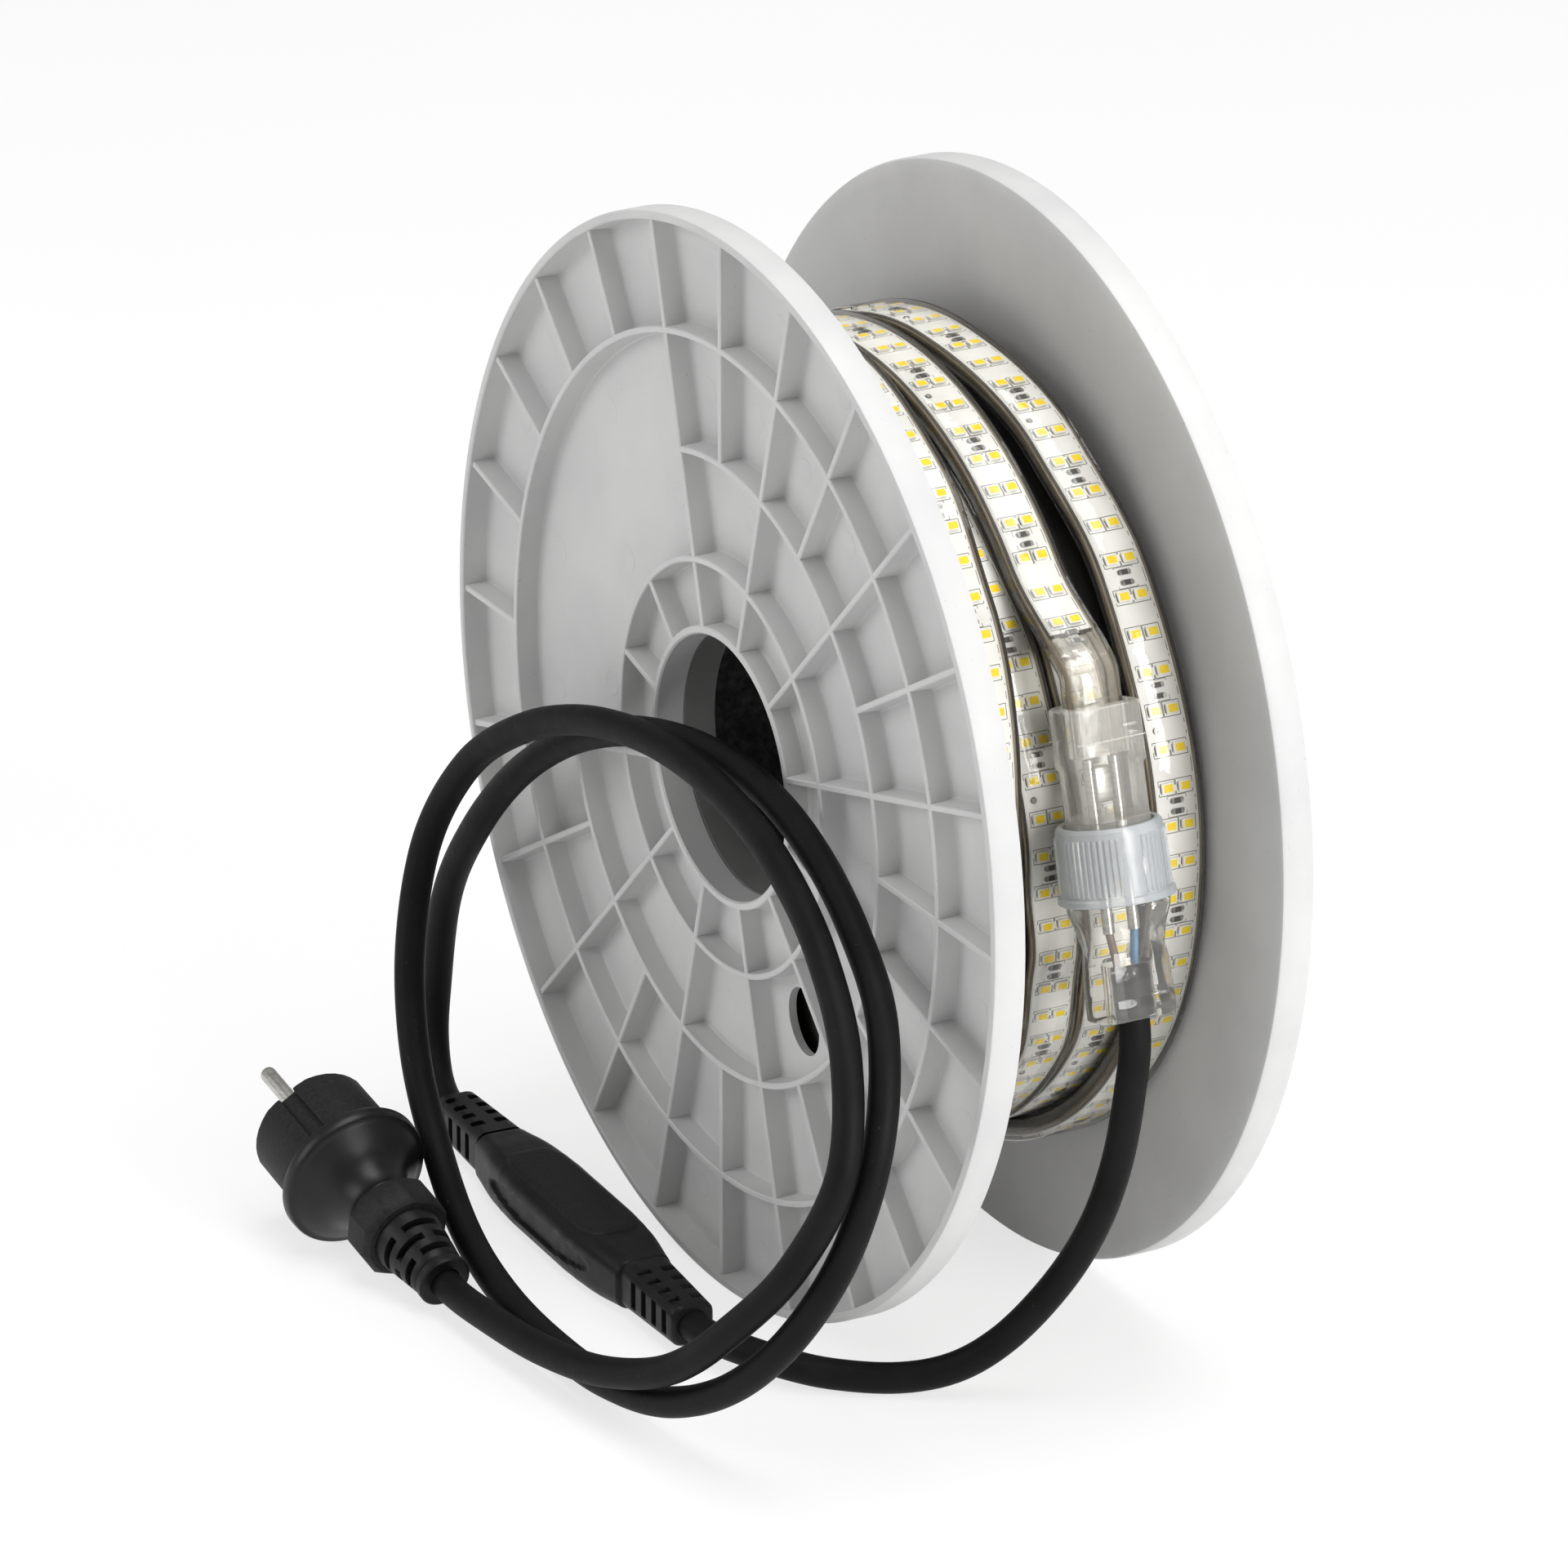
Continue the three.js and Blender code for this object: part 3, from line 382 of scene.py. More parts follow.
def circle(radius, count):
    turns = [2 * math.pi * k / count for k in range(count)]
    return [(radius * math.cos(a), radius * math.sin(a)) for a in turns]


def polar(radius, angle, z):
    a = math.radians(angle)
    return (radius * math.cos(a), radius * math.sin(a), z)


def turned(piece, profile, segments, centre=Vector((0, 0, 0))):
    """Turns [height, radius] pairs about the upright line through the centre."""
    return piece.skin([[centre + Vector((*p, z)) for p in circle(r, segments)] for z, r in profile])


def rounded(width, height, corner, per_corner=6):
    points = []
    w, h = width / 2 - corner, height / 2 - corner
    for cx, cy, start in ((w, h, 0), (-w, h, 90), (-w, -h, 180), (w, -h, 270)):
        for k in range(per_corner + 1):
            a = math.radians(start + 90 * k / per_corner)
            points.append((cx + corner * math.cos(a), cy + corner * math.sin(a)))
    return points


def level(points, z, scale=1.0):
    return [(x * scale, y * scale, z) for x, y in points]


def brick(piece, middle, size, bevel):
    """A box with bevelled edges along Z and at both ends."""
    outline = rounded(size[0], size[1], bevel, 2)
    inner = rounded(size[0] - 1.2 * bevel, size[1] - 1.2 * bevel, bevel * 0.4, 2)
    x, y, z = middle
    half = size[2] / 2
    rows = []
    for points, height in ((inner, -half), (outline, bevel - half), (outline, half - bevel), (inner, half)):
        rows.append([(x + px, y + py, z + height) for px, py in points])
    piece.skin(rows)


def smoothstep(low, high, value):
    t = min(1.0, max(0.0, (value - low) / (high - low)))
    return t * t * (3 - 2 * t)


# Cords, on the CAD part's routes
def smooth_route(points, spacing=2.5):
    """The centripetal curve through the points, as close points."""
    p = [Vector(q) for q in points]
    p = [2 * p[0] - p[1], *p, 2 * p[-1] - p[-2]]
    line = []
    for i in range(1, len(p) - 2):
        a, b, c, d = p[i - 1 : i + 3]
        t0 = math.sqrt((b - a).length)
        t1 = math.sqrt((c - b).length)
        t2 = math.sqrt((d - c).length)
        m1 = ((b - a) / t0 - (c - a) / (t0 + t1) + (c - b) / t1) * t1
        m2 = ((c - b) / t1 - (d - b) / (t1 + t2) + (d - c) / t2) * t1
        steps = max(2, round((c - b).length / spacing))
        for k in range(steps):
            t = k / steps
            h = (2 * t**3 - 3 * t**2 + 1, t**3 - 2 * t**2 + t, 3 * t**2 - 2 * t**3, t**3 - t**2)
            line.append(h[0] * b + h[1] * m1 + h[2] * c + h[3] * m2)
    line.append(p[-2])
    return line


def tube_rows(line, radius, sides):
    rows = []
    normal = (line[1] - line[0]).normalized().orthogonal().normalized()
    for i, point in enumerate(line):
        tangent = (line[min(i + 1, len(line) - 1)] - line[max(i - 1, 0)]).normalized()
        normal = (normal - tangent * normal.dot(tangent)).normalized()
        across = tangent.cross(normal)
        rows.append([point + (normal * c + across * s) * radius for c, s in circle(1.0, sides)])
    return rows


def make_cord(name, route, replaced):
    line = smooth_route(route)
    made = Piece().skin(tube_rows(line, CORD_RADIUS, 26)).make(
        name, ["rubber"], "black_rubber", smooth=60, replaces=[replaced]
    )
    return made, line


def on_box(y, lift=0.0):
    return box_frame @ Vector((0, y, BOX_HEIGHT / 2 + lift))


lead_route = [
    connector_frame @ Vector((0, 0, LEAD_END - 12)),
    connector_frame @ Vector((0, 0, LEAD_END + 6)),
    (2.4, -142.5, 104), (1, -138, 81), (-2, -131, 60), (-7.9, -119.8, 38.3), (-18, -107.2, 18.6),
    (-28.1, -98.5, 9.1), (-40.3, -89.5, 5), (-56.7, -78.5, 5.4), (-65.8, -71, 7.1), (-72, -63.2, 8.5),
    (-76.7, -53.5, 9),
    on_box(-RELIEF_ROOT - RELIEF_LENGTH - 4),
    on_box(-RELIEF_ROOT - RELIEF_LENGTH + CORD_SOCKET),
    on_box(-RELIEF_ROOT - 1),
]
mains_route = [
    on_box(RELIEF_ROOT + 1),
    on_box(RELIEF_ROOT + RELIEF_LENGTH - CORD_SOCKET),
    on_box(RELIEF_ROOT + RELIEF_LENGTH + 3, 0.2),
    (-67.6, 142.4, 12.3), (-64.3, 151.8, 22.7), (-61.6, 155.2, 36.2), (-61.3, 147.8, 68.7),
    (-61.1, 130, 95.6), (-59.4, 108.3, 119.4), (-57.9, 82.5, 138.6), (-56.9, 53.7, 153.1), (-56, 23, 163),
    (-55.6, -8.8, 168.2), (-56.1, -41, 168.1), (-58.3, -72.5, 161.9), (-62.5, -102.5, 150.7),
    (-69, -130, 135.4), (-78.6, -146.5, 110), (-89.3, -148.5, 79.8), (-99.5, -137.3, 51.6),
    (-107.3, -115.5, 28), (-112.8, -87.2, 12.8), (-115.3, -55.8, 6.1), (-115.6, -23.6, 4.8),
    (-114.4, 9, 6.7), (-109.8, 42.2, 11.9), (-102.8, 73.8, 23.6), (-98.5, 96.2, 45.3),
    (-91.4, 112.5, 71.4), (-83.1, 117, 101.9), (-77.1, 102.3, 129.4), (-73.3, 76.8, 148.7),
    (-70.3, 47.4, 161.6), (-68, 16, 168.4), (-67, -16.2, 169.7), (-67.7, -48.2, 166.2),
    (-70.6, -79.4, 158.6), (-75.9, -109.1, 147.2), (-82.8, -134.7, 129), (-91.8, -148.8, 102.2),
    (-102.2, -140.6, 73.2), (-110.8, -121.4, 48.9), (-116.8, -96.6, 27.9), (-121.9, -67.5, 16),
    (-125, -35.9, 10.1), (-126.8, -3.8, 8.1),
    plug_frame @ Vector((0, 0, -4)),
    plug_frame @ Vector((0, 0, 11)),
]
connector_lead, connector_line = make_cord("connector_cord", lead_route, "connector_lead")
mains_lead, mains_line = make_cord("mains_cord", mains_route, "mains_lead")


# Flanges
def rib_section(top):
    """Half-width and height pairs of a moulded rib with a small fillet at its foot."""
    base, half_foot, half_top = WEB - 0.02, 1.15, 0.92
    side = [(half_foot + 1.0, base), (half_foot + 0.35, base + 0.2), (half_foot, base + 0.75)]
    side += [(half_top, top - 0.3), (half_top - 0.3, top)]
    return [(-w, h) for w, h in side] + [(w, h) for w, h in reversed(side)]


RING_RIB = rib_section(RIB_TOP)
RADIAL_RIB = rib_section(RIB_TOP - 0.08)


def ring_rib(piece, radius, first=0, last=360):
    count = max(8, round((last - first) / 1.5))
    full = last - first == 360
    rows = []
    for k in range(count if full else count + 1):
        angle = first + (last - first) * k / count
        rows.append([on_drum(-FLANGE_INNER_FACE - h, radius + w, angle) for w, h in RING_RIB])
    piece.skin(rows, along=full)


def radial_rib(piece, angle, inner, outer):
    rows = []
    for radius in (inner, (inner + outer) / 2, outer):
        row = []
        for w, h in RADIAL_RIB:
            x, y, z = on_drum(-FLANGE_INNER_FACE - h, radius, angle)
            a = math.radians(angle)
            row.append((x, y - w * math.cos(a), z - w * math.sin(a)))
        rows.append(row)
    piece.skin(rows, caps=(False, False))


def web_with_hole(piece):
    """The flange's flat web, with the oval hole that the strip's start goes through."""
    hole_radius, hole_angle, reach = 75.0, 150.0, 12.0
    half_along, half_across = 10.0, 8.5
    low, high = hole_radius - 14, hole_radius + 16
    walls = []
    for depth in (0.0, WEB):
        x = -FLANGE_INNER_FACE - depth
        for inner, outer, first, last in (
            (BORE_RADIUS + 1.4, low, 0, 360),
            (low, high, hole_angle + reach, hole_angle + 360 - reach),
            (high, RIM_INNER - 2, 0, 360),
        ):
            steps = round((last - first) / 1.25)
            rows = []
            for k in range(steps + 1):
                angle = first + (last - first) * k / steps
                rows.append([on_drum(x, inner, angle), on_drum(x, outer, angle)])
            piece.skin(rows, around=False, caps=(False, False))
        turn = math.radians(hole_angle)
        edge, hole = [], []
        for u, v in circle(1.0, 96):
            most = max(abs(u), abs(v))
            radius = hole_radius + (high - hole_radius if u > 0 else hole_radius - low) * u / most
            edge.append(on_drum(x, radius, hole_angle + reach * v / most))
            along, across = hole_radius + half_along * u, half_across * v
            y = -along * math.sin(turn) - across * math.cos(turn)
            hole.append((x, y, AXIS_HEIGHT + along * math.cos(turn) - across * math.sin(turn)))
        piece.skin([edge, hole], caps=(False, False))
        walls.append(hole)
    piece.skin(walls, caps=(False, False))


def ejector_mark(piece, radius, angle, size=4.0):
    """The faint round mark that a mould's ejector pin leaves."""
    centre = Vector(on_drum(-FLANGE_INNER_FACE - WEB, radius, angle))
    rows = []
    steps = ((size, -0.05), (size - 0.15, 0.07), (size - 0.45, 0.07), (size - 0.65, 0.02), (0.01, 0.02))
    for r, height in steps:
        rows.append([centre + Vector((-height, *p)) for p in circle(r, 28)])
    piece.skin(rows, caps=(False, False))


def make_flange(name, node, half_turn):
    piece = Piece()
    web_with_hole(piece)
    depth, outer, inner = FLANGE_THICKNESS, FLANGE_RADIUS, RIM_INNER
    rim = [
        (0.0, inner - 2), (0.0, outer - 1.1), (0.3, outer - 0.4), (1.1, outer), (depth - 1.0, outer),
        (depth - 0.3, outer - 0.25), (depth, outer - 0.9), (depth, inner + 0.4), (depth - 0.35, inner + 0.05),
        (WEB + 0.9, inner - 0.35), (WEB + 0.2, inner - 0.8), (WEB, inner - 2),
    ]
    lathe(piece, [(-FLANGE_INNER_FACE - d, r) for d, r in rim], 288)
    hub = [
        (0.0, BORE_RADIUS + 1.4), (0.0, BORE_RADIUS + 0.3), (0.3, BORE_RADIUS), (RIB_TOP - 0.5, BORE_RADIUS),
        (RIB_TOP, BORE_RADIUS + 0.5), (RIB_TOP, HUB_OUTER - 0.35), (RIB_TOP - 0.35, HUB_OUTER),
        (WEB + 0.8, HUB_OUTER + 0.2), (WEB + 0.1, HUB_OUTER + 0.9), (WEB - 0.1, HUB_OUTER + 1.6),
    ]
    lathe(piece, [(-FLANGE_INNER_FACE - d, r) for d, r in hub], 160)
    ring_rib(piece, RINGS[0])
    ring_rib(piece, RINGS[1], BLANK_TO - 360, BLANK_FROM)
    ring_rib(piece, RINGS[2])
    for k in range(24):
        radial_rib(piece, 15 * k, RINGS[2], RIM_INNER + 0.5)
        ejector_mark(piece, 141 + 3 * (k % 3), 15 * k + 9.5)
    for angle in range(BLANK_TO - 360, BLANK_FROM + 1, 15):
        radial_rib(piece, angle, RINGS[1], RINGS[2])
        if angle < BLANK_FROM:
            ejector_mark(piece, 108, angle + 5.5)
    for angle in range(BLANK_TO - 360, BLANK_FROM + 1, 30):
        radial_rib(piece, angle, RINGS[0], RINGS[1])
        if angle < BLANK_FROM and angle != 135:
            ejector_mark(piece, 76, angle + 20)
    for k in range(12):
        radial_rib(piece, 15 + 30 * k, HUB_OUTER - 0.5, RINGS[0])
    for radius, angle in ((78, 268), (78, 300), (78, 332), (112, 262), (113, 284), (112, 316), (113, 338)):
        ejector_mark(piece, radius, angle)
    place = Matrix.Rotation(half_turn, 4, "Z")
    piece.make(name, ["flange"], "flange_plastic", place=place, smooth=32, replaces=[node])


make_flange("ribbed_flange_front", "front_flange", 0.0)
make_flange("ribbed_flange_rear", "rear_flange", math.pi)


def make_barrel():
    half, foam_seat = FLANGE_INNER_FACE, 30.5
    profile = [
        (-half, BORE_RADIUS + 0.4), (-half, BARREL_RADIUS), (half, BARREL_RADIUS), (half, BORE_RADIUS + 0.4),
        (half - 0.4, BORE_RADIUS), (foam_seat, BORE_RADIUS), (foam_seat, 44.0), (-foam_seat, 44.0),
        (-foam_seat, BORE_RADIUS), (0.4 - half, BORE_RADIUS),
    ]
    lathe(Piece(), profile, 144).make("barrel_tube", ["barrel"], "barrel_plastic", replaces=["barrel"])
    rows = []
    foam_outer = 43.6
    for k in range(240):
        angle = 360 * k / 240
        row = []
        for j in range(41):
            x = -FOAM_HALF + 2 * FOAM_HALF * j / 40
            seam = abs((angle - 96 - x * 0.35 + 180) % 360 - 180)
            dent = 1.3 * max(0.0, 1 - seam / 1.6)
            row.append(on_drum(x, FOAM_INNER + dent + random.uniform(0, 0.35), angle))
        rows.append([*row, on_drum(FOAM_HALF, foam_outer, angle), on_drum(-FOAM_HALF, foam_outer, angle)])
    Piece().skin(rows, along=True).make("foam_sleeve", ["foam"], "foam", replaces=["core_liner"])


make_barrel()


# Wound strip
class Track:
    """A strip's path: places on its top face with the side and outward directions there."""

    def __init__(self, places, outward, closed):
        self.place = np.array(places, float)
        self.outward = np.array(outward, float)
        self.closed = closed
        steps = np.linalg.norm(np.diff(self.place, axis=0), axis=1)
        self.s = np.concatenate(([0], np.cumsum(steps)))
        self.length = float(self.s[-1])

    def at(self, s, u, v):
        if self.closed:
            s = s % self.length
        p = [np.interp(s, self.s, self.place[:, k]) for k in range(3)]
        n = [np.interp(s, self.s, self.outward[:, k]) for k in range(3)]
        return (p[0] + u + n[0] * v, p[1] + n[1] * v, p[2] + n[2] * v)


def wrapped(table, angle):
    """Value at an angle from a table of angles and values, smooth and closed at 360."""
    angles = [a for a, _ in table]
    a = angle % 360
    k = max(i for i, start in enumerate(angles) if start <= a)
    after = (k + 1) % len(table)
    span = (angles[after] - angles[k]) % 360 or 360
    t = smoothstep(0, 1, (a - angles[k]) / span)
    return table[k][1] * (1 - t) + table[after][1] * t


def ring_track(places, top):
    points, outward = [], []
    for k in range(181):
        angle = 2 * k
        a = math.radians(angle)
        points.append(on_drum(wrapped(places, angle), top, angle))
        outward.append((0, -math.sin(a), math.cos(a)))
    return Track(points, outward, True)


SKIN = [
    (-8.5, -3.4), (-8.4, -1.5), (-7.9, -0.5), (-7.2, -0.05), (-6.7, -0.3), (-6.2, 0.0),
    (0, 0.05), (6.2, 0.0), (6.7, -0.3), (7.2, -0.05), (7.9, -0.5), (8.4, -1.5), (8.5, -3.4),
    (8.4, -5.3), (7.8, -6.4), (6.4, -6.8), (-6.4, -6.8), (-7.8, -6.4), (-8.4, -5.3),
]
PAIR_PITCH = 11.1
BOARD_TOP = -1.5
BOARD_SHADES = ["board", "package", "phosphor", "ink", "chip", "solder", "core", "wire"]
BOARD, PACKAGE, PHOSPHOR, INK, CHIP, SOLDER, CORE, WIRE = range(8)


def sweep(piece, track, section, stations, slot=0):
    return piece.skin([[track.at(s, u, v) for u, v in section] for s in stations], slot, along=track.closed)


def patch(board, s, u, half_s, half_u, v, slot, cut=0.0, thickness=0.0):
    """A small flat plate on the board, with one corner cut, with sides where it has a thickness."""
    piece, track = board
    outline = [(-half_u, -half_s), (half_u, -half_s), (half_u, half_s - cut), (-half_u, half_s)]
    if cut:
        outline.insert(3, (half_u - cut, half_s))
    top = [track.at(s + b, u + a, v) for a, b in outline]
    if thickness:
        base = [track.at(s + b, u + a, v - thickness) for a, b in outline]
        piece.skin([base, top], slot, caps=(False, True))
    else:
        piece.add(top, [tuple(range(len(top)))], slot)


def frame_lines(board, s, u, half_s, half_u, width=0.16):
    """A thin printed outline on the board."""
    v = BOARD_TOP + 0.015
    for side in (-1, 1):
        patch(board, s, u + side * half_u, half_s, width / 2, v, INK)
        patch(board, s + side * half_s, u, width / 2, half_u, v, INK)


def led(board, s, u):
    frame_lines(board, s, u, 2.2, 2.6, 0.22)
    patch(board, s, u, 1.5, 1.95, BOARD_TOP + 0.75, PACKAGE, cut=0.6, thickness=0.75)
    patch(board, s, u + 0.2, 1.1, 1.4, BOARD_TOP + 0.78, PHOSPHOR)
    patch(board, s, u - 2.1, 1.1, 0.14, BOARD_TOP + 0.02, INK)


def resistors(board, s):
    frame_lines(board, s, 0, 3.1, 3.0)
    for offset in (-1.55, 1.55):
        patch(board, s + offset, 0, 0.75, 0.95, BOARD_TOP + 0.5, CHIP, thickness=0.5)
        for side in (-1, 1):
            patch(board, s + offset, side * 1.3, 0.8, 0.4, BOARD_TOP + 0.42, SOLDER, thickness=0.42)
            patch(board, s + offset, side * 1.95, 0.6, 0.25, BOARD_TOP + 0.03, SOLDER)


def solder_spot(board, s, u):
    piece, track = board
    rows = []
    for share, height in ((1, 0), (0.7, 0.35)):
        rows.append([track.at(s + b * share, u + a * share, BOARD_TOP + height) for a, b in circle(1.05, 14)])
    piece.skin(rows, SOLDER, caps=(False, True))


def strand(name, track, phase=0.0, board_end=None, replaces=()):
    """One visible turn: clear skin, bus wires, white board, LED pairs and resistors."""
    end = board_end if board_end is not None else track.length
    if track.closed:
        stations = [track.length * k / 180 for k in range(180)]
    else:
        stations = list(np.linspace(0, track.length, 190))
    on_board = [s for s in stations if s <= end]
    sweep(Piece(), track, SKIN, stations).make(name + "_skin", ["skin"], "clear_strip", smooth=50)
    inside = Piece()
    board = (inside, track)
    section = [(-6.5, BOARD_TOP - 0.3), (-6.5, BOARD_TOP), (6.5, BOARD_TOP), (6.5, BOARD_TOP - 0.3)]
    sweep(inside, track, section, on_board, BOARD)
    # The body under the board is coloured dark brown as painted shade for the gaps between turns
    sweep(inside, track, [(-6.9, -6.3), (-6.9, -1.95), (6.9, -1.95), (6.9, -6.3)], on_board, CORE)
    for side in (-1, 1):
        sweep(inside, track, [(side * 7.35 + a, -2.9 + b) for a, b in circle(0.75, 8)], stations, WIRE)
    pairs = round(end / PAIR_PITCH) if track.closed else int((end - 6) / PAIR_PITCH)
    pitch = end / pairs if track.closed else PAIR_PITCH
    first = phase if track.closed else end - 5 - (pairs - 1) * PAIR_PITCH
    for k in range(pairs):
        s = first + k * pitch
        for u in (-2.75, 2.75):
            led(board, s, u)
        halfway = s + pitch / 2
        if k % 3 == 0:
            resistors(board, halfway)
        elif k % 9 == 4:
            solder_spot(board, halfway, -3.4)
        patch(board, halfway, 5.9, 2.2, 0.1, BOARD_TOP + 0.015, INK)
    inside.make(name + "_board", BOARD_SHADES, "clear_strip", smooth=30, replaces=replaces)


# Each turn's middle across the reel, at angles round it
RIGHT_TURN = [(0, 21), (30, 25), (50, 28), (90, 30.6), (115, 31.2), (160, 29), (210, 25), (270, 21.5)]
RIGHT_TURN += [(320, 20)]
LEFT_TURN = [(0, -15.5), (29, -18.7), (50, -22), (90, -28), (125, -31), (180, -31.3), (240, -29)]
LEFT_TURN += [(300, -20), (335, -16)]
LOWER_TURN = [(0, -13.5), (40, -12.5), (60, -9.3), (90, -6.2), (105, -2.5), (125, 2), (180, 4), (235, 0)]
LOWER_TURN += [(290, -9), (330, -13)]


def end_turn_side(angle):
    """Where the last turn runs across the reel."""
    return 3.6 + 3 * math.sin(math.radians(angle - 62))


def end_track():
    """The last turn: it climbs out of the lower layer behind, goes over the top and lifts to the socket."""
    first, last, climb, lower_top = -206, 42, 26, 113.0
    places, outward = [], []
    for angle in range(first, last + 1, 2):
        top = lower_top + (LAYER_TOP - lower_top) * smoothstep(first, first + climb, angle)
        top -= 0.6 * max(0.0, (angle - 30) / 12)
        places.append(Vector(on_drum(end_turn_side(angle), top, angle)))
        a = math.radians(angle)
        outward.append(Vector((0, -math.sin(a), math.cos(a))))
    lift_angle, lift_radius = 42.75, 117.9
    start = math.radians(lift_angle)
    lift = []
    for along in (0, 14):
        y = -lift_radius * math.sin(start) - along * math.cos(start)
        z = lift_radius * math.cos(start) - along * math.sin(start)
        lift.append(Vector((end_turn_side(lift_angle), y, AXIS_HEIGHT + z)))
    bend_end = SOCKET_TOP - 5
    for z in (bend_end - 4, bend_end, SOCKET_TOP + 13.5):
        lift.append(connector_frame @ Vector((0, 0, z)))
    line = smooth_route(lift, 2.0)
    for i, point in enumerate(line):
        tangent = (line[min(i + 1, len(line) - 1)] - line[max(i - 1, 0)]).normalized()
        normal = tangent.cross(Vector((1, 0, 0))).normalized()
        if i > 0:
            places.append(point + normal * 3.0)
            outward.append(normal)
    return Track(places, outward, False)


def make_winding():
    # The inner layers drum carries painted shade: its dark colour stands for the shade behind the start hole
    # and between turns
    profile = [(-36.5, 52.6), (-36.5, 105.8), (-35, 107), (34, 107), (35.5, 105.8), (35.5, 52.6)]
    lathe(Piece(), profile, 144).make("inner_layers_painted_shade", ["deep_painted_shade"], "clear_strip", replaces=["strip_winding"])
    beside_left = [(a, max(-31.6, x - 18)) for a, x in LOWER_TURN]
    beside_right = [(a, x + 17.8) for a, x in LOWER_TURN]
    strand("turn_right", ring_track(RIGHT_TURN, LAYER_TOP), 3.0)
    strand("turn_left", ring_track(LEFT_TURN, LAYER_TOP), 5.5)
    strand("lower_turn_b", ring_track(LOWER_TURN, LOWER_TOP), 7.0)
    strand("lower_turn_a", ring_track(beside_left, LOWER_TOP - 0.3), 1.0)
    strand("lower_turn_c", ring_track(beside_right, LOWER_TOP - 0.3), 9.0)
    track = end_track()
    inside_socket, bare_tail = 13.5, 23
    board_end = track.length - inside_socket - bare_tail
    strand("turn_end", track, board_end=board_end, replaces=["strip_lead_end"])
    stations = np.linspace(board_end, track.length - 0.5, 24)
    section = [(-6.6, -5.6), (-6.6, -1.6), (-4.4, -1.5), (-4.1, -2.2), (-1.7, -2.2), (-1.4, -1.5)]
    section += [(1.4, -1.5), (1.7, -2.2), (4.1, -2.2), (4.4, -1.5), (6.6, -1.6), (6.6, -5.6)]
    sweep(Piece(), track, section, stations).make("turn_end_tail", ["tail"], "clear_plastic", smooth=40)


make_winding()


# Screw connector
def bar(piece, start, end, radius, slot=0):
    piece.skin(tube_rows([Vector(start), Vector(end)], radius, 12), slot)


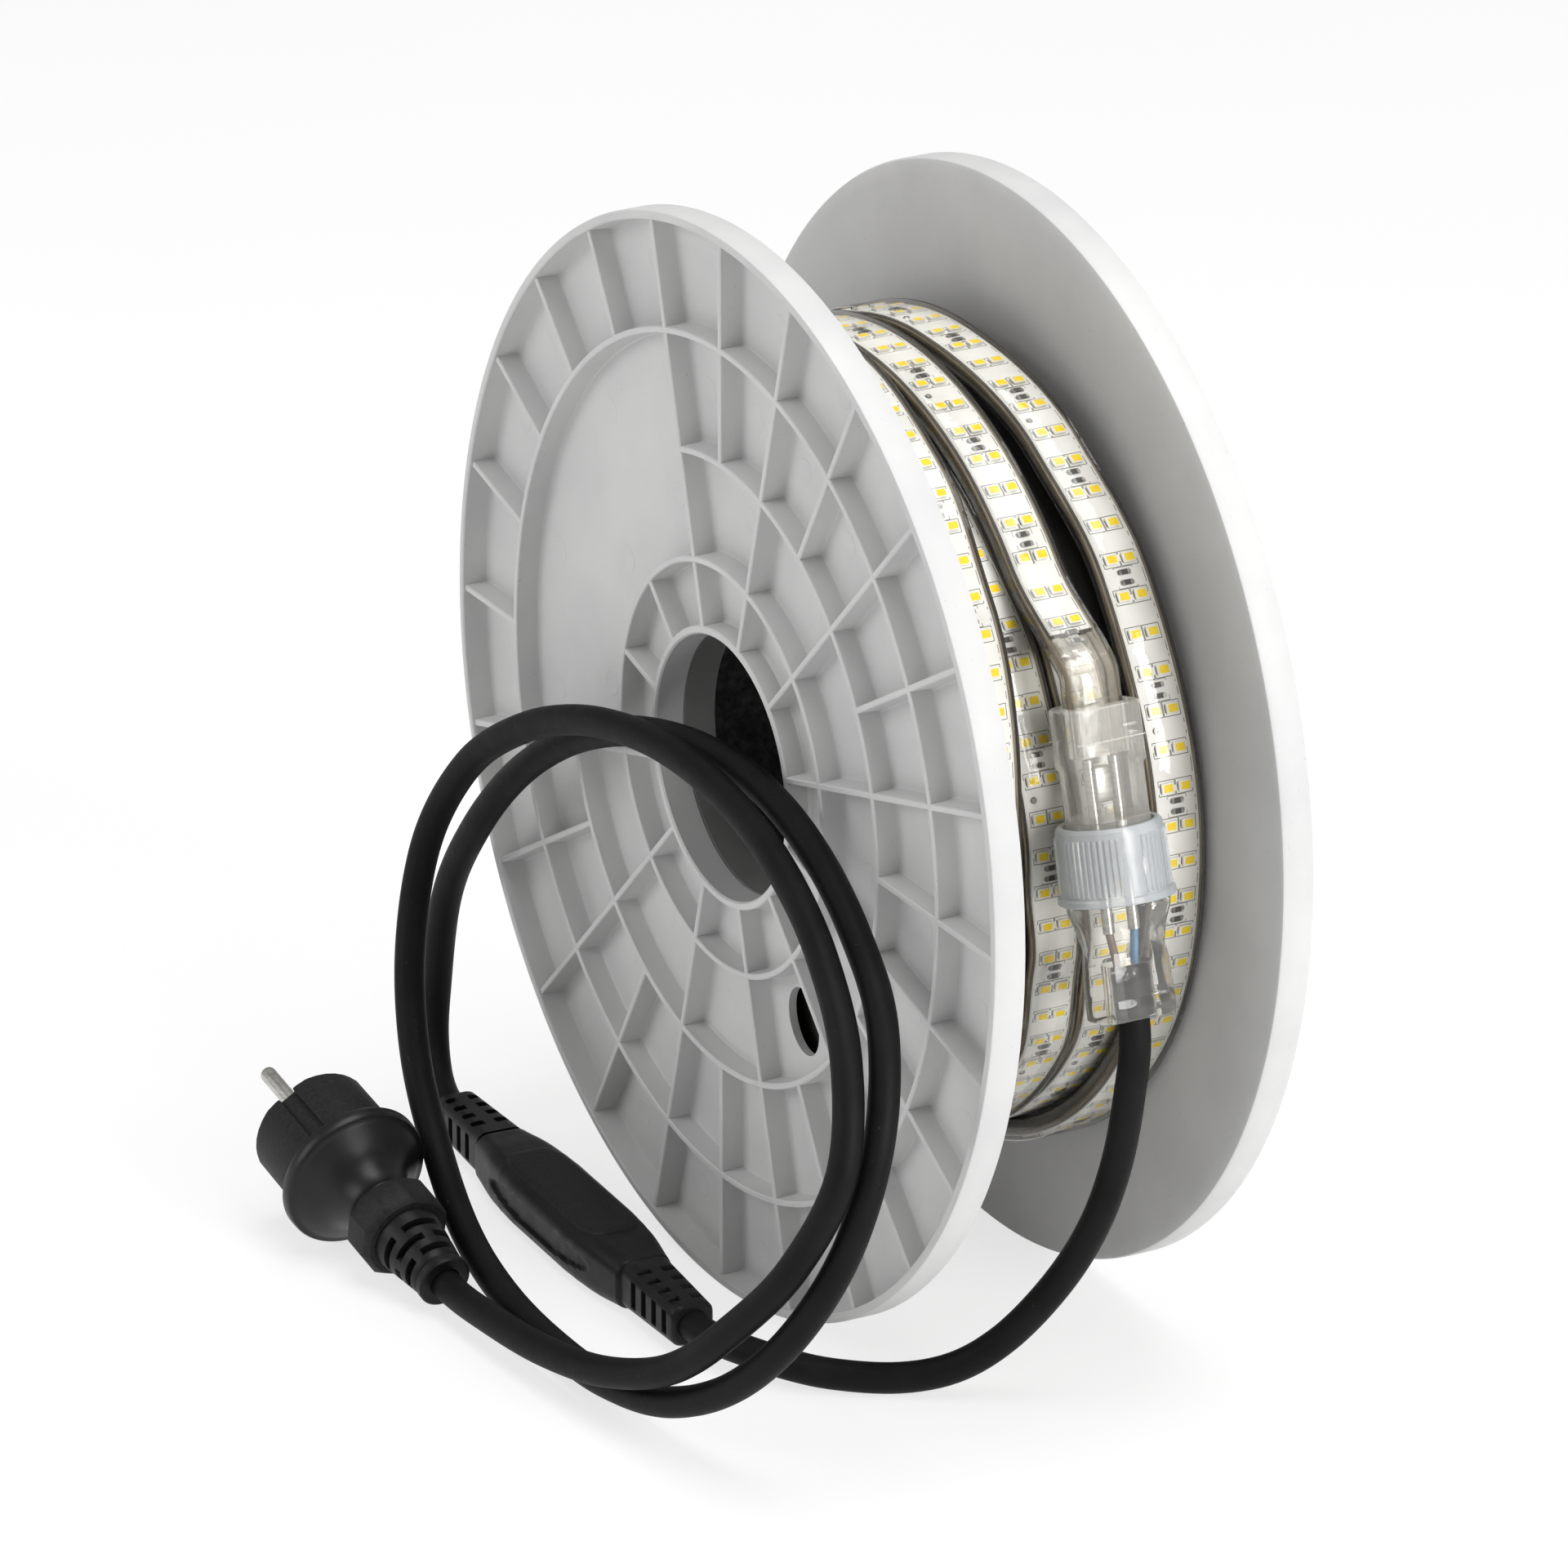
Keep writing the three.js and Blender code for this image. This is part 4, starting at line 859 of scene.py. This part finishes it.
def make_connector():
    place = connector_frame
    socket = Piece()
    outline, inner = rounded(24, 16, 5, 7), rounded(17, 7, 2, 7)
    narrow = [(x * 0.93, y * 0.93) for x, y in outline]
    rows = [level(inner, SOCKET_TOP + 14), level(inner, SOCKET_TOP), level(outline, SOCKET_TOP, 0.95)]
    for down, scale in ((0.5, 1), (9.2, 1), (9.5, 0.985), (9.9, 1), (16.5, 1)):
        rows.append(level(outline, SOCKET_TOP + down, scale))
    rows += [level(narrow, SOCKET_TOP + 17.6), level(narrow, NUT_TOP - 1.4)]
    rows.append(level(narrow, NUT_TOP - 1.0, 0.97))
    socket.skin(rows)
    throat = ((-1.6, 11.9), (2.9, 11.9), (2.9, 13.1), (5.9, 13.1))
    turned(socket, [(NUT_TOP + z, r) for z, r in throat], 48)
    for y in (-8.1, 8.1):
        brick(socket, (6.0, y, SOCKET_TOP + 6), (5.0, 0.9, 0.9), 0.3)
        brick(socket, (0.0, y, SOCKET_TOP + 9.4), (22.0, 0.35, 0.35), 0.12)
    socket.make("strip_socket_body", ["clear"], "clear_plastic", place=place, replaces=["strip_socket"])

    inserts = Piece()
    brick(inserts, (-1.2, 1.5, SOCKET_TOP + 22), (5.2, 3.0, 10.0), 0.5)
    for side in (-1, 1):
        bar(inserts, (side * 4, 0, SOCKET_TOP + 15), (side * 4, 0, NUT_TOP + 4), 1.6, 0)
        bar(inserts, (side * 4, 0, SOCKET_TOP + 2), (side * 4, 0, SOCKET_TOP + 15), 0.7, 1)
    inserts.make("socket_contacts", ["metal", "wire"], "plated_metal", place=place)

    thetas = []
    for start in range(0, 360, 90):
        thetas += [(start + 3 + k * 4, 0) for k in range(4)]
        for k in range(11):
            left = start + 19.5 + k * 6.2
            thetas += [(left, 0), (left + 0.9, 0.5), (left + 3.0, 0.5), (left + 3.9, 0)]
    rows = []
    for z, radius, ribbed in (
        (NUT_TOP, 14.3, 0), (NUT_TOP + 0.9, 14.95, 0), (NUT_TOP + 2.6, 15.1, 0), (NUT_TOP + 3.1, 15.15, 1),
        (NUT_BOTTOM - 3.1, 15.35, 1), (NUT_BOTTOM - 2.7, 15.35, 0), (NUT_BOTTOM - 2.2, 15.5, 0),
        (NUT_BOTTOM - 1.9, 16.4, 0), (NUT_BOTTOM - 0.4, 16.55, 0), (NUT_BOTTOM, 16.2, 0),
        (NUT_BOTTOM, 13.7, 0), (NUT_TOP + 2.7, 13.7, 0), (NUT_TOP + 2.6, 12.8, 0), (NUT_TOP, 12.8, 0),
    ):
        rows.append([polar(radius + rib * ribbed, angle, z) for angle, rib in thetas])
    Piece().skin(rows, along=True).make("ribbed_coupling_nut", ["frosted"], "clear_plastic", "coupling_nut",
                                        place, 30, ["coupling_nut"])

    lead = Piece()
    block = rounded(24, 15.5, 5, 7)

    def on_circle(radius):
        return [tuple(Vector(p).normalized() * radius) for p in block]

    def blend(z, share, scale):
        points = []
        for a, b in zip(on_circle(14.6), block):
            x, y = (p * (1 - share) + q * share * 0.94 for p, q in zip(a, b))
            points.append((x * scale, y * scale, z))
        return points

    rows = [level(on_circle(13.1), z) for z in (-2.4, LEAD_SHOULDER - 0.4)]
    blends = ((0, 0, 0.97), (1, 0, 1), (3, 0.12, 1), (8, 0.6, 0.97), (13.5, 1, 0.97), (15, 1, 1))
    for down, share, scale in blends:
        rows.append(blend(LEAD_SHOULDER + down, share, scale))
    rows.append(level(block, LEAD_SHOULDER + 17.5, 0.965))
    for up, scale in ((6.6, 1), (6.2, 0.985), (5.8, 1), (0.6, 1), (0, 0.95)):
        rows.append(level(block, LEAD_END - up, scale))
    rows += [level(on_circle(7.0), LEAD_END), level(on_circle(7.0), LEAD_END - 15.2)]
    lead.skin(rows)
    for y in (-7.9, 7.9):
        brick(lead, (5.2, y, LEAD_END - 6.4), (5.4, 0.9, 0.9), 0.3)
        brick(lead, (-7.4, y, LEAD_END - 14.5), (4.0, 0.4, 0.5), 0.15)
    lead.make("lead_connector_body", ["clearer"], "clear_plastic", place=place, replaces=["lead_connector"])

    cores = Piece()
    for side, slot in ((-1, 1), (1, 2)):
        bar(cores, (side * 4, 0, 6), (side * 4, 0, LEAD_SHOULDER + 9), 1.7, 0)
        bar(cores, (side * 4, 0, LEAD_SHOULDER + 9), (side * 2.6, 0, LEAD_END - 14), 1.15, slot)
    cores.make("lead_cores", ["metal", "brown", "blue"], "plated_metal", place=place)

    profile = ((15, 5.2), (15, 6.2), (14.4, 6.7), (0.6, 6.7), (0.3, 6.3), (0.3, 5.0))
    sleeve = turned(Piece(), [(LEAD_END - up, r) for up, r in profile], 40)
    sleeve.make("cord_sleeve", ["moulded"], "black_rubber", place=place, replaces=["lead_sleeve"])


make_connector()


# Rectifier box: a moulded hexagonal body with a raised grained panel and lens-shaped side recesses
def long_outline(width, height, corner, per_side=14):
    """A rounded rectangle with points along its straight sides too."""
    corners = rounded(width, height, corner, 8)
    points = []
    for k, point in enumerate(corners):
        points.append(point)
        if k % 9 == 8:
            ahead = corners[(k + 1) % len(corners)]
            for j in range(1, per_side):
                t = j / per_side
                points.append(tuple(p * (1 - t) + q * t for p, q in zip(point, ahead)))
    return points


def make_box():
    half_length, height = BOX_LENGTH / 2, BOX_HEIGHT - PANEL_RISE
    rows = []
    for k in range(161):
        y = -half_length + BOX_LENGTH * k / 160
        edge = abs(y) - (half_length - BOX_TAPER)
        half = BOX_WIDTH / 2 - max(0.0, edge) * (BOX_WIDTH - BOX_END_WIDTH) / 2 / BOX_TAPER
        half -= 0.4 * smoothstep(0, 1, 1 - abs(edge) / 9)
        rise = height / 2 - 0.8 * smoothstep(half_length - 14, half_length, abs(y))
        pinch = smoothstep(half_length - 1.2, half_length, abs(y))
        row = []
        for x, z in long_outline(2 * (half - pinch), 2 * (rise - pinch), BOX_CORNER):
            if abs(x) > half - pinch - 1.5:
                lens = (y / LENS_HALF_LENGTH) ** 2 + (z / LENS_HALF_HEIGHT) ** 2
                x -= math.copysign(LENS_DEPTH * (1 - smoothstep(0.82, 1.0, lens)), x)
            row.append((x, y, height / 2 + z))
        rows.append(row)
    body = Piece().skin(rows)
    shell = body.make("rectifier_shell", ["moulded"], "black_plastic", place=box_frame, smooth=42,
                      replaces=["rectifier_housing"])

    outline = [(8.7, 24), (6.2, 31), (-6.2, 31), (-8.7, 24), (-8.7, -24), (-6.2, -31), (6.2, -31), (8.7, -24)]

    def inset(distance, z):
        return [(*(math.copysign(abs(p) - distance, p) for p in corner), z) for corner in outline]

    def softened(points):
        share = 0.22
        out = []
        for i in range(len(points)):
            a, b, c = (Vector(points[(i + k) % len(points)]) for k in (-1, 0, 1))
            start, end = b + (a - b) * share, b + (c - b) * share
            for t in (0.0, 0.25, 0.5, 0.75, 1.0):
                out.append(start * (1 - t) ** 2 + b * 2 * t * (1 - t) + end * t**2)
        return out

    levels = ((-0.8, -0.9), (-0.3, 0.1), (0.4, 0.6), (1.4, 0.78), (2.8, 0.8))
    panel = Piece().skin([softened(inset(d, height + up)) for d, up in levels], caps=(False, True))
    lid = panel.make("rectifier_panel", ["grained"], "black_plastic", place=box_frame, smooth=50)
    return [shell, lid]


box_pieces = make_box()


def make_relief(name, node, side):
    """Strain relief with cross slots in its top and sides and a ridge down its middle."""
    slots = [RELIEF_LENGTH - RELIEF_FIRST_SLOT - k * RELIEF_SLOT_PITCH for k in range(4)]
    heights = {0.0, 0.5, RELIEF_LENGTH - 1.2, RELIEF_LENGTH - 0.6, RELIEF_LENGTH}
    for middle in slots:
        heights |= {middle + d for d in (-1.5, -1.3, -1.1, 1.1, 1.3, 1.5)}
    rows = []
    for z in sorted(heights):
        share = z / RELIEF_LENGTH
        end = max(0.0, z - RELIEF_LENGTH + 1.2)
        w = RELIEF_WIDTH - RELIEF_NARROWING * share - end * end
        h = RELIEF_HEIGHT - RELIEF_LOWERING * share - end * end
        near = min(abs(z - middle) for middle in slots)
        depth = 1.5 if near <= 1.15 else 1.3 if near <= 1.35 else 0.0
        row = []
        for x, y in long_outline(w, h, RELIEF_CORNER, 24):
            if abs(y) > h / 2 - 0.3 and 1.9 < abs(x) < w / 2 - 1.8:
                y -= math.copysign(depth, y)
            elif abs(x) > w / 2 - 0.3 and abs(y) < h / 2 - 2.8:
                x -= math.copysign(depth, x)
            row.append((x, y, z))
        rows.append(row)
    tip = [(x * 0.6, y * 0.6, RELIEF_LENGTH) for x, y, _ in rows[-1]]
    mouth = [(*(Vector((x, y)).normalized() * 4.7), RELIEF_LENGTH) for x, y, _ in rows[-1]]
    piece = Piece().skin([*rows, tip, mouth, [(x, y, RELIEF_LENGTH - 5) for x, y, _ in mouth]])
    turn = Matrix.Rotation(-side * math.pi / 2, 4, "X")
    place = box_frame @ Matrix.Translation((0, side * RELIEF_ROOT, BOX_HEIGHT / 2)) @ turn
    return piece.make(name, ["moulded"], "black_rubber", place=place, smooth=34, replaces=[node])


relief_mains = make_relief("mains_strain_relief", "rectifier_relief_mains", 1)
relief_lead = make_relief("lead_strain_relief", "rectifier_relief_lead", -1)


# Mains plug
def make_plug():
    collar, neck = PLUG_LENGTH - 27, 35.0
    from_neck = ((0, 8.8), (0.1, 11.0), (0.9, 11.3), (1.6, 10.7), (3.5, 10.4), (6, 10.8), (9, 11.9))
    from_collar = (
        (-7.5, 13.1), (-6, 14.4), (-4.6, 16.0), (-3.4, 17.8), (-1.6, 19.8), (-0.9, 20.6), (-0.6, 21.9),
        (0, 22.3), (2.9, 22.4), (3.6, 22.0), (4, 21.2), (4.02, 19.3),
    )
    profile = [(neck + z, r) for z, r in from_neck] + [(collar + z, r) for z, r in from_collar]
    bell = turned(Piece(), profile, 96)
    lower = bell.make("plug_bell", ["gloss"], "black_rubber", place=head_frame, smooth=36)

    head = Piece()
    thetas = []
    for base in (0, 180):
        thetas += [base + a for a in (-26, -22, -18, -13, -8.7, -8.5, -4, 0, 4, 8.5, 8.7, 13, 18, 22, 26)]
        thetas += [base + a for a in (34, 44, 54, 64, 71, 79.9, 80.1, 90, 99.9, 100.1, 109, 116)]
        thetas += [base + a for a in (126, 136, 146)]
    thetas = sorted(a % 360 for a in thetas)

    def head_ring(z, radius, shaped=True, grooved=True):
        ring = []
        for angle in thetas:
            a = math.radians(angle)
            r = radius
            near = abs((angle + 90) % 180 - 90)
            if shaped and near <= 26.5:
                r = min(r, (HEAD_RADIUS - FLAT_DEPTH) / abs(math.cos(a)))
                if near <= 8.6 and grooved:
                    r = (HEAD_RADIUS - GROOVE_DEPTH) / abs(math.cos(a))
            if shaped and abs(near - 90) <= 10:
                r = min(r, (HEAD_RADIUS - FLAT_DEPTH) / abs(math.sin(a)))
            ring.append(polar(r, angle, z))
        return ring

    rings = (
        (collar + 3.9, 18.9, False), (collar + 5.4, 18.8, False), (collar + 5.5, 18.8, True, False),
        (collar + 7.0, 18.75, True, False), (collar + 7.1, 18.75), (PLUG_LENGTH - 1.1, 18.55),
        (PLUG_LENGTH - 0.3, 18.3), (PLUG_LENGTH, 17.7),
    )
    head.skin([head_ring(*ring) for ring in rings])
    seats = [Vector((side * 9.5, 0, PLUG_LENGTH)) for side in (-1, 1)]
    for seat in seats:
        turned(head, [(-0.5, 3.9), (0.25, 3.7), (0.35, 3.2), (0.35, 2.5)], 32, seat)
    top = head.make("plug_head", ["grained"], "black_rubber", place=head_frame, smooth=30,
                    replaces=["plug_body"])

    pins = []
    profile = [(-5.5, 2.39), (17.2, 2.39), (17.9, 2.3), (18.4, 2.05), (18.8, 1.6), (19.0, 0.9), (19.05, 0.02)]
    for seat, node in zip(seats, ("plug_pin_front", "plug_pin_rear")):
        pin = turned(Piece(), profile, 32, seat)
        pins.append(pin.make(node + "_metal", ["metal"], "plated_metal", place=head_frame, smooth=50,
                             replaces=[node]))

    rows = []
    for z, scale, round_share in (
        (22.4, 0.8, 1), (22.5, 0.9, 0.7), (23.6, 0.97, 0.25), (24.6, 1, 0),
        (32.6, 1, 0), (33.8, 0.97, 0.25), (34.5, 0.9, 0.7), (34.7, 0.7, 1),
    ):
        row = []
        for k in range(60):
            a = 2 * math.pi * k / 60
            facet = (a + math.pi / 10) % (math.pi / 5) - math.pi / 10
            r = min(14.15, 13.5 / math.cos(facet)) * (1 - round_share) + 13.6 * round_share
            row.append((r * scale * math.cos(a), r * scale * math.sin(a), z))
        rows.append(row)
    gland = Piece().skin(rows).make("gland_nut", ["grained"], "black_plastic", place=plug_frame, smooth=24,
                                    replaces=["plug_gland_nut"])

    slots = (7.0, 12.0, 17.0)
    heights = {0.0, 0.5, 1.0, 2.6, 3.2, 3.6, 22.0}
    for middle in slots:
        heights |= {middle + d for d in (-1.25, -1.1, 1.1, 1.25)}
    rows = [level(circle(4.7, 72), z) for z in (6.0, 0.0)]
    for z in sorted(heights):
        radius = 7.4 + 3.1 * z / 22
        if z < 3.4:
            radius = 8.15 if 0.4 < z < 3.1 else 7.6
        row = []
        for angle in range(0, 360, 5):
            r = radius
            for i, middle in enumerate(slots):
                near = abs((angle - 45 * (i % 2) + 45) % 90 - 45)
                if abs(z - middle) <= 1.11 and near <= 31:
                    r -= 2.2
            row.append(polar(r, angle, z))
        rows.append(row)
    tail = Piece().skin(rows).make("plug_relief", ["moulded"], "black_rubber", place=plug_frame, smooth=34,
                                   replaces=["plug_strain_relief"])
    return [lower, top, *pins, gland, tail]


plug_pieces = make_plug()

# CAD nodes that keep their own shape
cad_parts["sealing_ring"].data.materials[0] = SHADES["clear"]
for node in ("contact_pin_left", "contact_pin_right", "plug_earth_upper", "plug_earth_lower"):
    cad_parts[node].data.materials[0] = SHADES["metal"]


# Floor and studio light
def seen_share(tree, share):
    """The share for rays that see the background directly, in gloss or through clear plastic, else 0."""
    rays = new_node(tree, "LightPath")
    total = rays.outputs["Is Camera Ray"]
    for kind in ("Is Glossy Ray", "Is Transmission Ray"):
        more = new_node(tree, "Math")
        more.operation = "MAXIMUM"
        tree.links.new(total, more.inputs[0])
        tree.links.new(rays.outputs[kind], more.inputs[1])
        total = more.outputs["Value"]
    scaled = new_node(tree, "Math")
    scaled.operation = "MULTIPLY"
    scaled.inputs[1].default_value = share
    tree.links.new(total, scaled.inputs[0])
    return scaled.outputs["Value"]


def make_floor():
    mesh = bpy.data.meshes.new("floor")
    half = 30
    corners = [(-half, -half, 0), (half, -half, 0), (half, half, 0), (-half, half, 0)]
    mesh.from_pydata(corners, [], [(0, 1, 2, 3)])
    floor = add_object("floor", mesh)
    shade = Shade("floor", "floor_paper", 0.9, specular=0.1)
    shade.colour((246, 246, 246), (250, 250, 250), 2)
    # Seen directly or in gloss, the paper shines partly by itself, so it is white and keeps the shadow
    glow = new_node(shade.tree, "Emission", Color=(1, 1, 1, 1), Strength=1.0)
    seen = seen_share(shade.tree, 0.72)
    both = mix_shaders(shade.tree, seen, shade.shader.outputs["BSDF"], glow.outputs["Emission"])
    shade.link(both, shade.tree.nodes["Material Output"].inputs["Surface"])
    mesh.materials.append(shade.material)


def area_light(name, place, target, size, power):
    data = bpy.data.lights.new(name, "AREA")
    data.shape = "RECTANGLE"
    data.size, data.size_y = size
    data.energy = power
    lamp = add_object(name, data)
    lamp.location = place
    lamp.rotation_mode = "QUATERNION"
    direction = Vector(place) - Vector(target)
    lamp.rotation_quaternion = direction.to_track_quat("Z", "Y")


def make_light():
    world = bpy.data.worlds.new("studio")
    world.use_nodes = True
    tree = world.node_tree
    fill = tree.nodes["Background"]
    fill.inputs["Color"].default_value = (1, 1, 1, 1)
    fill.inputs["Strength"].default_value = WORLD_LIGHT
    seen = new_node(tree, "Background", Color=(1, 1, 1, 1))
    directly = new_node(tree, "LightPath").outputs["Is Camera Ray"]
    both = mix_shaders(tree, directly, fill.outputs["Background"], seen.outputs["Background"])
    tree.links.new(both, tree.nodes["World Output"].inputs["Surface"])
    bpy.context.scene.world = world
    middle = (0, 0, 0.16)
    area_light("left_box", (-1.9, 0.6, 1.0), middle, (1.2, 1.2), 13)
    area_light("top_box", (0.2, -0.2, 2.2), middle, (1.6, 1.6), 36)
    area_light("front_box", (0.55, -2.2, 0.9), middle, (0.7, 1.3), 38)


make_floor()
make_light()
bpy.context.scene.view_settings.view_transform = "Standard"

bpy.context.view_layer.update()
